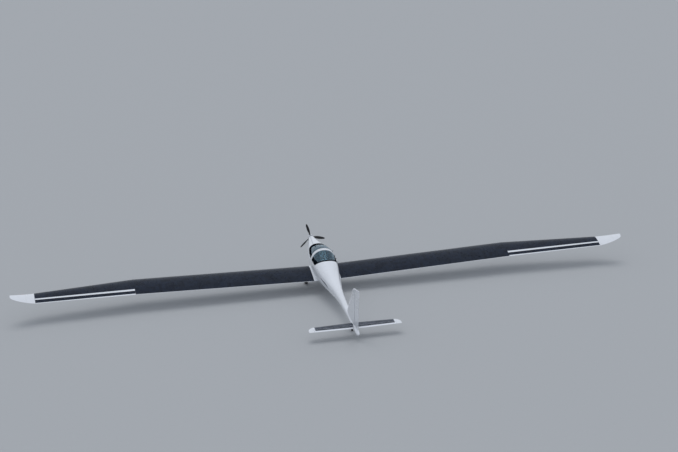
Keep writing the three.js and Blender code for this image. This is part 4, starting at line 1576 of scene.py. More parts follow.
    def charging_hatch(self) -> None:
        """A charging hatch behind the cockpit to port: its gap, and four flush screws."""
        y, z = self.hatch
        path = [HULL.over(y + along, z + up, 0.2) for along, up in rounded_outline(260, 150, 26, 6)]
        SHOP.piece("charging_hatch_gap", tube(path, 1.6, 8, closed=True), SEALS)
        screw = lathe([(0, 0.5), (5.4, 0.5), (6, -2)], 18)
        screws = [HULL.mount(screw, y + a * 108, z + b * 55) for a in SIGNS for b in SIGNS]
        SHOP.piece("charging_hatch_screws", screws, STEEL)


@dataclass
class Canopies:
    """Both canopies, the hoop between them and their fittings."""

    hoop: tuple[float, float] = (2566, 2630)
    gap: float = 5
    band: float = 42
    # black border on the glass, painted shade and painted reflection standing in for the shaded cockpit seen
    # through it and the dark ground reflected near its edges: its height along the sides, its depth behind,
    # and its edge in front
    edging: tuple[float, float] = (110, 12)
    front_edging: Cut = Cut((1995, 200), (1925, 560))
    slant: float = 1.4
    frame_wall: float = 14
    glass_wall: float = 6
    hoop_wall: float = 30
    axis_x: float = -512
    axis_z: float = 216
    lug_radius: float = 11
    lug_thickness: float = 12
    front_lugs: tuple[float, ...] = (2080, 2480)
    rear_lugs: tuple[float, ...] = (2720, 3040)
    vent: tuple[float, float] = (2120, 315)

    def build(self) -> None:
        """Makes both canopies and the hoop."""
        shell = Fuselage()
        front, rear = shell.opening
        bottom = shell.sill + self.gap
        ahead, behind = (Cut((y, 200), (y, 300)) for y in (self.hoop[0] - self.gap, self.hoop[1] + self.gap))
        self.canopy("front", (front.shifted(self.gap * self.slant), ahead), bottom, self.front_lugs)
        self.canopy("rear", (behind, rear.shifted(-self.gap * self.slant)), bottom, self.rear_lugs)
        self.arch(shell.sill)
        self.vent_window()

    def canopy(self, name: str, edges: tuple[Cut, Cut], bottom: float, lugs: Sequence[float]) -> None:
        """One canopy: black band, white arch, a black border on the glass that is painted shade and painted
        reflection, glass and fittings.

        Args:
            name: Which canopy.
            edges: Its front and its rear edge.
            bottom: Height of its lower edge.
            lugs: Places of its hinge lugs.
        """
        body, front = f"canopy_{name}", name == "front"
        leans = (self.slant, 1.0) if front else (1.0, self.slant)
        pane = tuple(cut.shifted(s * self.band * lean) for cut, s, lean in zip(edges, (1, -1), leans))
        edge, rear_shade_depth = self.edging
        seen = (self.front_edging, pane[1]) if front else (pane[0], pane[1].shifted(-rear_shade_depth))
        levels = (bottom, bottom + self.band, bottom + self.band + edge)
        planes = [((0.0, 0.0, z), UP) for z in levels] + [cut.plane() for cut in (*edges, *pane, *seen)]
        outer, inner, clear = (between(*cuts, z) for cuts, z in zip((edges, pane, seen), levels))
        middle = sum(self.hoop) / 2
        reach = min(abs(cut.foot[0] - middle) for cut in pane)

        def border(by_hoop: bool) -> Callable[[Vector], bool]:
            """A test whether a place is on the frame, beside the hoop or away from it."""
            return lambda m: outer(m) and not inner(m) and (abs(m.y - middle) < reach) == by_hoop

        whole = skin(HULL.grid(np.linspace(1440, 3380, 96)), caps=OPEN)
        for part, keep, finish, nodes, wall, lining in (
            ("band", border(False), BAND, [f"{body}_frame"], self.frame_wall, LINING),
            ("arch", border(True), WHITE, [], self.frame_wall, LINING),
            # painted shade and painted reflection: black border where the pane would show the shaded cockpit
            # and dark reflections
            ("edging", lambda m: inner(m) and not clear(m), BAND, [], self.glass_wall, None),
            ("pane", clear, GLASS, [f"{body}_glass"], self.glass_wall, None),
        ):
            shape = whole.trimmed(planes, keep)
            how = {"closed": False, "wall": wall, "lining": lining}
            SHOP.piece(f"{body}_{part}", shape, finish, *nodes, body=body, **how)
        self.fittings(body, lugs, bottom)

    def fittings(self, body: str, lugs: Sequence[float], bottom: float) -> None:
        """Hinge lugs to starboard, and a latch handle inside and out to port.

        Args:
            body: The canopy's body.
            lugs: Places of its hinge lugs.
            bottom: Height of its lower edge.
        """
        parts = []
        rim = self.lug_radius - 1.5
        outline = [(5.5, 6), (rim, 6), (self.lug_radius, 4.5), (self.lug_radius, -4.5), (rim, -6), (5.5, -6)]
        eye = lathe(outline, 32, ring=True).spun(90, PORT)
        for y in lugs:
            reach = abs(float(HULL.half_at(y, self.axis_z, 4)) + self.axis_x)
            arm = block((reach + 4, self.lug_thickness, 14), 2).moved((8 + reach / 2, 0, 0))
            parts += [part.moved((self.axis_x, y, self.axis_z)) for part in (eye, arm)]
        boss = lathe([(0, 8), (9, 8), (11, 6), (11, -2)], 28)
        lever = together(block((96, 13, 7), 3).moved((34, 0, 7)), boss)
        grip = together(block((70, 12, 9), 4).moved((26, 0, 12)), lathe([(0, 16), (8, 16), (8, 0)], 24))
        spot = (sum(lugs) / len(lugs), bottom + self.band / 2)
        for part, shapes, finish in (
            ("hinge_lugs", parts, ALUMINIUM),
            ("handle", HULL.mount(lever, *spot), ALUMINIUM),
            ("inner_lever", HULL.inside(grip, *spot, self.frame_wall), LEVER),
        ):
            SHOP.piece(f"{body}_{part}", shapes, finish, body=body)

    def arch(self, sill: float) -> None:
        """The white hoop between the canopies, with its edges rounded.

        Args:
            sill: Height of its feet.
        """
        rows = HULL.grid(np.linspace(*self.hoop, 5))
        band = skin(rows, caps=OPEN).trimmed([((0.0, 0.0, sill + 0.3), UP)], lambda m: m.z > sill)
        wall = {"closed": False, "wall": self.hoop_wall, "lining": LINING}
        SHOP.piece("canopy_hoop_skin", band, WHITE, "canopy_hoop", bevel=2.0, **wall)

    def vent_window(self) -> None:
        """A small sliding window with its knob in the front canopy's port pane."""
        y, z = self.vent
        rim = [HULL.over(y + a, z + b, 0.8) for a, b in rounded_outline(210, 92, 24, 6)]
        SHOP.piece("vent_window_rim", tube(rim, 2.6, 8, closed=True), BAND, body="canopy_front")
        knob = HULL.inside(lathe([(0, 9), (7, 9), (9, 6), (9, 0)], 24), y + 80, z, self.glass_wall)
        SHOP.piece("vent_window_knob", knob, KNOBS, body="canopy_front")


# Cockpit


@dataclass
class Cockpit:
    """Two seats in line with their panels, sticks, pedals, throttles and belts."""

    floor: float = -319.7
    seats: tuple[tuple[str, float], ...] = (("front", 1960), ("rear", 2790))
    width: float = 400
    pan: float = 330
    lift: float = 75
    thickness: float = 45
    rise: float = 520
    lean: float = 170
    panels: tuple[tuple[str, float, float, float], ...] = (("front", 1640, -20, 300), ("rear", 2600, 0, 190))
    sticks: tuple[tuple[str, float], ...] = (("front", 1840), ("rear", 2700))
    wall: float = 25.3

    def build(self) -> None:
        """Makes the cockpit of both seats."""
        cushions = Upholstery(self)
        for name, y in self.seats:
            self.seat(name, y)
            cushions.fit(name, y)
            self.harness(name, y)
            self.throttle(name, y)
            self.pedals(name, y)
        for panel in self.panels:
            self.panel(*panel)
        for stick in self.sticks:
            self.stick(*stick)

    def back_line(self, y: float, share: float, out: float = 0.0) -> np.ndarray:
        """A place on the seat back's front face.

        Args:
            y: The seat's place.
            share: Its share of the way up from the pan.
            out: Distance out from the face.

        Returns:
            Its y and z.
        """
        foot = np.array([y + self.pan, self.floor + self.lift + self.thickness])
        top = np.array([y + self.pan + self.lean, self.floor + self.lift + self.rise])
        along = unit(top - foot)
        return foot + (top - foot) * share + out * np.array([-along[1], along[0]])

    def seat(self, name: str, y: float) -> None:
        """A moulded shell on a box: pan, raised sides and a leaning back with rounded shoulders.

        Args:
            name: Which seat.
            y: Its place.
        """
        level = self.floor + self.lift
        half, middle = self.width / 2, y + self.pan / 2
        base = block((self.width - 40, self.pan - 20, self.lift + 4), 14)
        base = base.moved((0, middle + 10, level - self.lift / 2))
        pan = block((self.width, self.pan + 40, 30), 12).moved((0, middle + 20, level + 15))
        rail = block((26, self.pan + 30, 52), 11)
        rails = [rail.moved((s * (half - 13), middle + 12, level + 34)) for s in SIGNS]
        long = math.hypot(self.lean, self.rise - self.thickness)
        outline = [(x, z + long / 2) for x, z in rounded_outline(self.width, long, 70, 8)]
        foot, top = self.back_line(y, 0), self.back_line(y, 1)
        face = np.cross(PORT, unit((0, *(top - foot))))
        shell = plate(outline, 24).laid((0, foot[0], foot[1] + 2), PORT, face)
        wings = []
        radii = np.interp(np.linspace(0, 1, 14), (0, 0.1, 0.85, 1), (8, 16, 15, 6))
        for s in SIGNS:
            line = [(s * (half - 14), *self.back_line(y, share, -4)) for share in np.linspace(0.04, 0.8, 14)]
            wings.append(tube(line, radii, 14))
        parts = [base, pan, *rails, shell, *wings]
        SHOP.piece(f"seat_{name}_shell", parts, CARBON, f"seat_{name}", bevel=2.5)

    def harness(self, name: str, y: float) -> None:
        """Flat shoulder and lap belts with a round buckle and two adjusters.

        Args:
            name: Which seat.
            y: Its place.
        """
        belts, metal = [], []
        back, level = y + self.pan, self.floor + self.lift
        for s in SIGNS:
            spots = [(52, 1.02, -30), (58, 1.03, 22)]
            spots += [(62, share, 60) for share in (0.96, 0.8, 0.6, 0.4, 0.22)]
            shoulder = [(s * x, *self.back_line(y, share, out)) for x, share, out in spots]
            shoulder.append((s * 24, back - 66, level + 132))
            places = ((self.width / 2 - 6, -30, 66), (130, -62, 112), (28, -76, 122))
            lap = [(s * x, back + along, level + up) for x, along, up in places]
            belts += [self.strap(shoulder, PORT, 46), self.strap(lap, (0.0, 0.5, 1.0), 42)]
            metal.append(block((56, 26, 5), 2).spun(70, PORT).moved((s * 62, *self.back_line(y, 0.44, 66))))
        buckle = lathe([(0, 12), (20, 12), (29, 8), (31, 0), (31, -8)], 40)
        lugs = [block((26, 46, 4), 1.5).spun(angle).moved((0, 0, 1)) for angle in (25, 155, 205, 335)]
        metal += [part.laid((0, back - 72, level + 132), PORT, (0, -0.75, 0.66)) for part in (buckle, *lugs)]
        SHOP.piece(f"harness_{name}_belts", belts, WEBBING)
        SHOP.piece(f"harness_{name}_buckles", metal, STEEL, bevel=0.8)

    def strap(self, line: Sequence[Point], across: Point, width: float) -> Shape:
        """Flat webbing along a smooth line.

        Args:
            line: Points of its middle.
            across: Direction of its width.
            width: Its width.

        Returns:
            The strap, 2.4 mm thick with rounded edges.
        """
        table = [(i, *point) for i, point in enumerate(line)]
        at = np.linspace(0, len(line) - 1, 12 * (len(line) - 1) + 1)
        path = np.stack([smooth(table, at, column) for column in (1, 2, 3)], -1)
        section = [(-0.5, 0), (-0.46, 1), (0.46, 1), (0.5, 0), (0.46, -1), (-0.46, -1)]
        rows = []
        for place, forward in zip(path, np.gradient(path, axis=0)):
            ahead = unit(forward)
            wide = unit(np.asarray(across) - ahead * np.dot(across, ahead))
            out = np.cross(ahead, wide)
            rows.append([place + wide * width * a + out * 1.2 * b for a, b in section])
        return skin(np.array(rows))

    def panel(self, name: str, y: float, low: float, high: float) -> None:
        """A crackle-black panel under a hood, with dials, blank displays and switches.

        Args:
            name: Which panel.
            y: Its place.
            low: Height of its lower edge.
            high: Height of its top.
        """
        inset = self.wall + 2
        edge = [(float(HULL.half_at(y - 10, z, inset)), z) for z in np.linspace(low + 4, high - 6, 24)]
        flat = plate([*edge, *((-x, z) for x, z in reversed(edge))], 14)
        parts = [Shape(flat.points[:, [0, 2, 1]] + (0, y - 18, 0), flat.faces)]
        middle = (low + high) / 2
        screens = [(0, middle + 12, 190, 124)]
        dials = [(x, middle + z, 26) for x in (-190, 190) for z in (38, -30)]
        if name == "front":
            screens = [(x, middle + 40, 196, 132) for x in (-118, 118)]
            dials = [(x, middle - 88, 28) for x in range(-210, 211, 70)]
            rows = []
            for share in np.linspace(0, 1, 9):
                turns = np.linspace(0.32, math.pi - 0.32, 41)
                row = HULL.at(y - 190 + 205 * share, turns, inset + 8 + 6 * share)
                row[:, 2] = np.minimum(row[:, 2], high - 6 - 8 * (1 - share))
                rows.append(np.concatenate([row, (row - (0, 0, 5))[::-1]]))
            parts.append(skin(np.array(rows)))
        SHOP.piece(f"instrument_panel_{name}_face", parts, FACIA, f"instrument_panel_{name}", bevel=1.5)
        self.instruments(name, y - 4, screens, dials, low)

    def instruments(
        self,
        name: str,
        y: float,
        screens: Sequence[tuple[float, float, float, float]],
        dials: Sequence[Point],
        low: float,
    ) -> None:
        """Displays, dials and switches on a panel.

        Args:
            name: Which panel.
            y: Its face.
            screens: Middle x and z, width and height of each display.
            dials: Middle x and z and radius of each dial.
            low: The panel's lower edge.
        """
        frames, glass, marks, bezels, knobs = [], [], [], [], []
        key = block((12, 8, 5), 1.5)
        for x, z, width, height in screens:
            ring = [(x + a, y + 2, z + b) for a, b in rounded_outline(width, height, 10, 4)]
            frames.append(tube(ring, 5, 8, closed=True))
            frames += [key.moved((x + (i - 2.5) * 26, y + 5, z - height / 2 - 12)) for i in range(6)]
            glass.append(plate(rounded_outline(width - 4, height - 4, 9, 4), 3).aft((x, y - 1, z)))
        for x, z, r in dials:
            rim = [(r - 4, 2), (r - 2, 6), (r, 6), (r + 2, 0), (r - 4, 0)]
            bezels.append(lathe(rim, 40, ring=True).aft((x, y, z)))
            glass.append(lathe([(0, 1.4), (r - 3.5, 1.4), (r - 3.5, -1)], 40).aft((x, y, z)))
            tick = block((1.6, r * 0.2, 0.8)).moved((0, r * 0.68, 1.6))
            hand = block((1.8, r * 0.62, 1.0)).moved((0, r * 0.24, 2.2)).spun(40 + x * 0.6)
            marks += [part.aft((x, y, z)) for part in (*(tick.spun(-135 + 30 * k) for k in range(10)), hand)]
        stalk = lathe([(0, 16), (3, 16), (4, 8), (3, 0), (8, 0), (8, -2)], 18)
        for k in range(8):
            knobs.append(stalk.laid(((k - 3.5) * 34, y, low + 22), PORT, (0, 1, 0.35 if k % 3 else -0.35)))
        for part, shapes, finish, bevel in (
            ("frames", frames, KNOBS, 0.8),
            ("glass", glass, SCREEN, 0),
            ("marks", marks, MARKS, 0),
            ("bezels", bezels, KNOBS, 0),
            ("switches", knobs, STEEL, 0),
        ):
            SHOP.piece(f"panel_{name}_{part}", shapes, finish, bevel=bevel)

    def stick(self, name: str, y: float) -> None:
        """A stick with a bellows at its foot and a shaped grip with a button.

        Args:
            name: Which stick.
            y: Its place.
        """
        foot = self.floor + 1
        folds = [spot for k in range(5) for spot in ((21 + 5 * k, 52 - 11 * k), (16 + 6 * k, 46 - 11 * k))]
        bellows = lathe([(0, 62), (15, 62), (17, 56), *folds, (45, 0)], 40).moved((0, y, foot))
        rod = tube([(0, y, foot + 30), (0, y - 9, foot + 150), (0, y - 14, foot + 232)], 10, 20)
        line = [(0, y - 13 - k * 1.2, foot + 216 + k * 16) for k in range(9)]
        grip = tube(line, [9, 15, 17, 15.5, 17, 18.5, 18, 15, 8], 24)
        button = lathe([(0, 5), (6, 5), (7, 3), (7, -3)], 20).laid((0, y - 8, foot + 335), PORT, (0, 1, 0.5))
        SHOP.piece(f"control_stick_{name}_grip", [rod, grip], KNOBS, f"control_stick_{name}")
        SHOP.piece(f"control_stick_{name}_bellows", bellows, SEALS)
        SHOP.piece(f"control_stick_{name}_button", button, LEVER)

    def throttle(self, name: str, y: float) -> None:
        """A slotted console on the port wall with a power lever and a trim lever.

        Args:
            name: Which seat.
            y: Its place.
        """
        z, y = -70.0, y + 40
        middle = float(HULL.half_at(y, z, self.wall)) - 30
        console = block((54, 260, 90), 9).moved((middle, y, z - 40))
        slots, levers, caps = [], [], []
        for x, lean in ((middle - 11, 30), (middle + 11, -14)):
            slots.append(block((5, 150, 3), 1).moved((x, y, z + 5.5)))
            levers.append(tube([(x, y + lean * 0.3, z), (x, y + lean, z + 66)], 3, 12))
            caps.append(block((15, 26, 20), 6).moved((x, y + 1 + lean, z + 74)))
        for part, shapes, finish in (
            ("console", console, CARBON),
            ("slots", slots, SEALS),
            ("levers", levers, STEEL),
            ("caps", caps, LEVER),
        ):
            SHOP.piece(f"throttle_{name}_{part}", shapes, finish)

    def pedals(self, name: str, y: float) -> None:
        """Two ribbed rudder pedals on their tube.

        Args:
            name: Which seat.
            y: Its place.
        """
        ahead, reach = (560, 92) if name == "front" else (400, 205)
        place, foot = y - ahead, self.floor
        parts = [tube([(s * (reach + 60), place, foot + 26) for s in SIGNS], 8, 16)]
        tread, rib = block((74, 9, 130), 4).spun(14, PORT), block((66, 4, 4), 1.5)
        for s in SIGNS:
            parts.append(tread.moved((s * reach, place - 14, foot + 96)))
            parts += [rib.moved((s * reach, place - 8 - 3.2 * k, foot + 58 + 16 * k)) for k in range(5)]
        parts += [block((18, 40, 34), 4).moved((s * (reach + 52), place, foot + 16)) for s in SIGNS]
        SHOP.piece(f"rudder_pedals_{name}", parts, CASTING)


@dataclass
class Upholstery:
    """Cushions puffed by a cloth simulation, then given sewn channels and piping."""

    cockpit: Cockpit
    voxel: float = 0.007
    cap: float = 9.0
    pressure: float = 4.0
    frames: int = 20
    made: dict[str, Shape] = field(default_factory=dict)

    def fit(self, name: str, y: float) -> None:
        """Pan cushion, back cushion and headrest of one seat, each with a sewn cord round its edge.

        Args:
            name: Which seat.
            y: Its place.
        """
        c = self.cockpit
        out = -np.cross(unit((0, *(c.back_line(y, 1) - c.back_line(y, 0)))), PORT)
        for part, size, place, up in (
            ("pan", (344, 318, 48), (0, y + 166, c.floor + c.lift + 60), (0, -0.06, 1)),
            ("back", (350, 372, 44), (0, *c.back_line(y, 0.44, 30)), out),
            ("headrest", (190, 88, 46), (0, *c.back_line(y, 0.93, 30)), out),
        ):
            pad = self.cushion(part, size).laid(place, PORT, up)
            piece = SHOP.piece(f"seat_{name}_{part}_cushion", pad, CLOTH, crease=70)
            edge = [(a, b, 2.0) for a, b in rounded_outline(size[0] - 7, size[1] - 7, 30, 8)]
            cord = tube(edge, 2.6, 10, closed=True).laid(place, PORT, up)
            SHOP.piece(f"seat_{name}_{part}_piping", cord, PIPING)

    def cushion(self, part: str, size: Point) -> Shape:
        """A puffed pad about the origin, simulated once for each kind.

        Args:
            part: Kind of cushion.
            size: Width, length and thickness.

        Returns:
            The pad.
        """
        if part not in self.made:
            start = block((size[0] - 10, size[1] - 10, size[2] - 14), 13, 4)
            thing = new_object(f"{part}_form", start.points / 1000, start.faces)
            remesh = thing.modifiers.new("remesh", "REMESH")
            remesh.mode, remesh.voxel_size = "VOXEL", self.voxel
            given_mesh(thing)
            rest = self.positions(thing)
            self.puff(thing)
            moved = self.positions(thing) - rest
            reach = np.linalg.norm(moved, axis=1, keepdims=True)
            rest = rest + moved * np.minimum(1.0, self.cap / 1000 / np.maximum(reach, 1e-9))
            faces = [tuple(face.vertices) for face in thing.data.polygons]
            self.made[part] = Shape(self.sewn(part, rest * 1000, size), faces)
            bpy.data.objects.remove(thing)
        return self.made[part]

    def puff(self, thing: Thing) -> None:
        """Blows the pad up as cloth and applies the result.

        Args:
            thing: The pad.
        """
        cloth = thing.modifiers.new("puff", "CLOTH")
        cloth.settings.use_pressure = True
        cloth.settings.uniform_pressure_force = self.pressure
        cloth.settings.effector_weights.gravity = 0
        cloth.point_cache.frame_start, cloth.point_cache.frame_end = 1, self.frames
        for step in range(1, self.frames + 1):
            bpy.context.scene.frame_set(step)
        given_mesh(thing)
        bpy.context.scene.frame_set(1)

    def positions(self, thing: Thing) -> np.ndarray:
        """The mesh's points in metres.

        Args:
            thing: The pad.

        Returns:
            Its points.
        """
        flat = np.empty(len(thing.data.vertices) * 3, np.float32)
        thing.data.vertices.foreach_get("co", flat)
        return flat.reshape(-1, 3).astype(float)

    def sewn(self, part: str, points: np.ndarray, size: Point) -> np.ndarray:
        """The pad kept inside its size, with channels pressed in across its face.

        Args:
            part: Kind of cushion.
            points: The puffed pad's points.
            size: Width, length and thickness.

        Returns:
            The points with their channels.
        """
        width, length, thickness = size
        x, y, z = points.T
        x = x * min(1.0, (width - 10) / (np.ptp(x) + 1e-6) * 1.03)
        y = y * min(1.0, (length - 10) / (np.ptp(y) + 1e-6) * 1.03)
        crown = 1 - 0.5 * (np.abs(2 * x / width) ** 4 + np.abs(2 * y / length) ** 4)
        z = np.where(z > 0, z * (0.8 + 0.35 * crown), np.maximum(z, -thickness / 2 + 4))
        count = {"pan": 4, "back": 5, "headrest": 2}[part]
        for line in np.linspace(-length / 2, length / 2, count + 1)[1:-1]:
            groove = np.exp(-(((y - line) / 7.0) ** 2)) * np.clip((width / 2 - 26 - np.abs(x)) / 20, 0, 1)
            z = z - np.where(z > 0, 7.0 * groove, 0)
        return np.column_stack([x, y, z])


# Propeller


@dataclass
class Propeller:
    """Spinner, hub and three blades on one shaft."""

    tip: float = 150
    base: float = 366
    radius: float = 106
    hub: tuple[float, float, float, float] = (366.3, 386, 92, 15)  # front, rear, radius and shaft's radius
    hub_end: float = 645
    screws: int = 12
    blade_y: float = 290
    angles: tuple[float, ...] = (-13, 107, 227)
    shank: tuple[float, float] = (23, 38)
    strip: tuple[float, float] = (330, 597)  # ends of the metal leading edge
    # radius, chord, thickness, pitch in degrees
    stations: tuple[tuple[float, ...], ...] = (
        (118, 48, 42, 60),
        (190, 92, 30, 50),
        (310, 116, 19, 34),
        (440, 104, 12, 25),
        (550, 76, 8, 20),
        (600, 44, 6, 18),
        (615, 18, 4, 17),
    )

    def turned(self, outline: Outline, segments: int = 112, ring: bool = False) -> Shape:
        """A shape turned about the shaft, from each point's radius and minus its place along."""
        return lathe(outline, segments, ring).spun(90, PORT)

    def build(self) -> None:
        """Makes the hub, the white pointed spinner, its base ring and screws, and the blades."""
        front, rear, radius, shaft = self.hub
        line = [(0, -front), (radius - 3, -front), (radius, -front - 3), (radius, -rear + 2)]
        line += [(radius - 2, -rear), (shaft + 8, -rear), (shaft, -rear - 6)]
        line += [(shaft, -self.hub_end), (0, -self.hub_end)]
        SHOP.piece("propeller_hub_plate", self.turned(line, 96), ALUMINIUM, "propeller_hub", body="propeller")
        line = []
        for t in np.linspace(0, 1, 40) ** 1.2:
            back = self.tip + (self.base - self.tip) * t**1.5
            line.append((self.radius * math.sin(t * math.pi / 2) ** 0.85, -back))
        line += [(self.radius - 6, -self.base), (0, -self.base)]
        SHOP.piece("spinner_cone", self.turned(line), WHITE, "spinner", body="propeller")
        groove = self.base - 10
        ring = [(self.radius + r, -groove - y) for r, y in ((-2, 0), (0.6, 0), (0.6, 3), (-2, 3))]
        SHOP.piece("spinner_base_groove", self.turned(ring, ring=True), SEALS, body="propeller")
        screw = lathe([(0, 1.2), (4.4, 1.2), (5, 0), (5, -3)], 16)
        screws = []
        for turn in 2 * math.pi * (np.arange(self.screws) + 0.5) / self.screws:
            out = np.array([math.cos(turn), 0.0, math.sin(turn)])
            screws.append(screw.laid(self.radius * out + (0, groove - 9, 0), AFT, out))
        SHOP.piece("spinner_screws", screws, STEEL, body="propeller")
        self.blades()

    def blade_row(self, radius: float, sides: int = 40) -> np.ndarray:
        """One section of a blade that points up.

        Args:
            radius: Its distance from the shaft.
            sides: Number of points.

        Returns:
            The section's points.
        """
        chord, thickness, pitch = looked_up(self.stations, radius)
        turn = math.radians(-pitch)
        angle = np.linspace(0, 2 * math.pi, sides, endpoint=False)
        along = np.cos(angle) * chord / 2
        off = np.sin(angle) * thickness / 2 * (1 - 0.35 * (along / chord) * (1 if thickness < 40 else 0))
        off = off + 0.12 * thickness * (1 - (2 * along / chord) ** 2)
        x = along * math.cos(turn) - off * math.sin(turn)
        y = self.blade_y + along * math.sin(turn) + off * math.cos(turn)
        return np.column_stack([x, y, np.full_like(x, radius)])

    def blades(self) -> None:
        """Three carbon blades, each with a shank, a collar in the spinner and a metal leading edge."""
        rows = [self.blade_row(r) for r in (*np.linspace(118, 598, 44), 604, 609, 613, 615)]
        rows.append(rows[-1] * 0.4 + rows[-1].mean(0) * 0.6)
        shank = tube([(0, self.blade_y, z) for z in (self.shank[1], 122)], self.shank[0], 40)
        places = np.linspace(*self.strip, 26)
        radii = np.interp(np.linspace(0, 1, len(places)), (0, 0.1, 0.9, 1), (0.4, 1.5, 1.3, 0.5))
        collar = lathe([(26, 5), (33, 5), (35, 2), (35, -9), (26, -9)], 48, ring=True)
        parts = (
            ("skin", together(skin(np.array(rows)), shank), CARBON),
            ("edge", tube([self.blade_row(r)[20] for r in places], radii, 10), STEEL),
            ("collar", collar.moved((0, self.blade_y, 110)), SEALS),
        )
        for number, angle in enumerate(self.angles, 1):
            for part, shape, finish in parts:
                nodes = [f"propeller_blade_{number}"] if part == "skin" else []
                turned = shape.spun(angle - 90, AFT)
                SHOP.piece(f"blade_{number}_{part}", turned, finish, *nodes, body="propeller")


# Wings


def foil_sides(u: np.ndarray, ratio: float, camber: float) -> tuple[np.ndarray, np.ndarray]:
    """Upper and lower height of a section, for a chord of 1.

    Args:
        u: Share of the chord from the nose.
        ratio: Thickness for a chord of 1.
        camber: Height of its middle line.

    Returns:
        Both heights.
    """
    u = np.asarray(u, float)
    half = 5 * ratio * (0.2969 * np.sqrt(u) - 0.126 * u - 0.3516 * u**2 + 0.2843 * u**3 - 0.1015 * u**4)
    peak = 0.4
    ahead = camber / peak**2 * (2 * peak * u - u**2)
    behind = camber / (1 - peak) ** 2 * (1 - 2 * peak + 2 * peak * u - u**2)
    line = np.where(u < peak, ahead, behind)
    return line + half, line - half


def wrapped(rows: np.ndarray, behind: object = 0.0) -> np.ndarray:
    """Places on the flat sheet for rows that start at their rear edge and run over the top.

    Args:
        rows: The grid of points.
        behind: How far each row's first point is from the trailing edge.

    Returns:
        Metres along the span and forward over the top, with one more column for the closing edge.
    """
    across = arc_lengths(rows) + np.reshape(behind, (-1, 1))
    across = np.concatenate([across, across[:, -1:] + 5], 1)
    along = np.repeat(np.abs(rows[:, :1, 0]), across.shape[1], 1)
    return np.stack([along, across], -1) / 1000


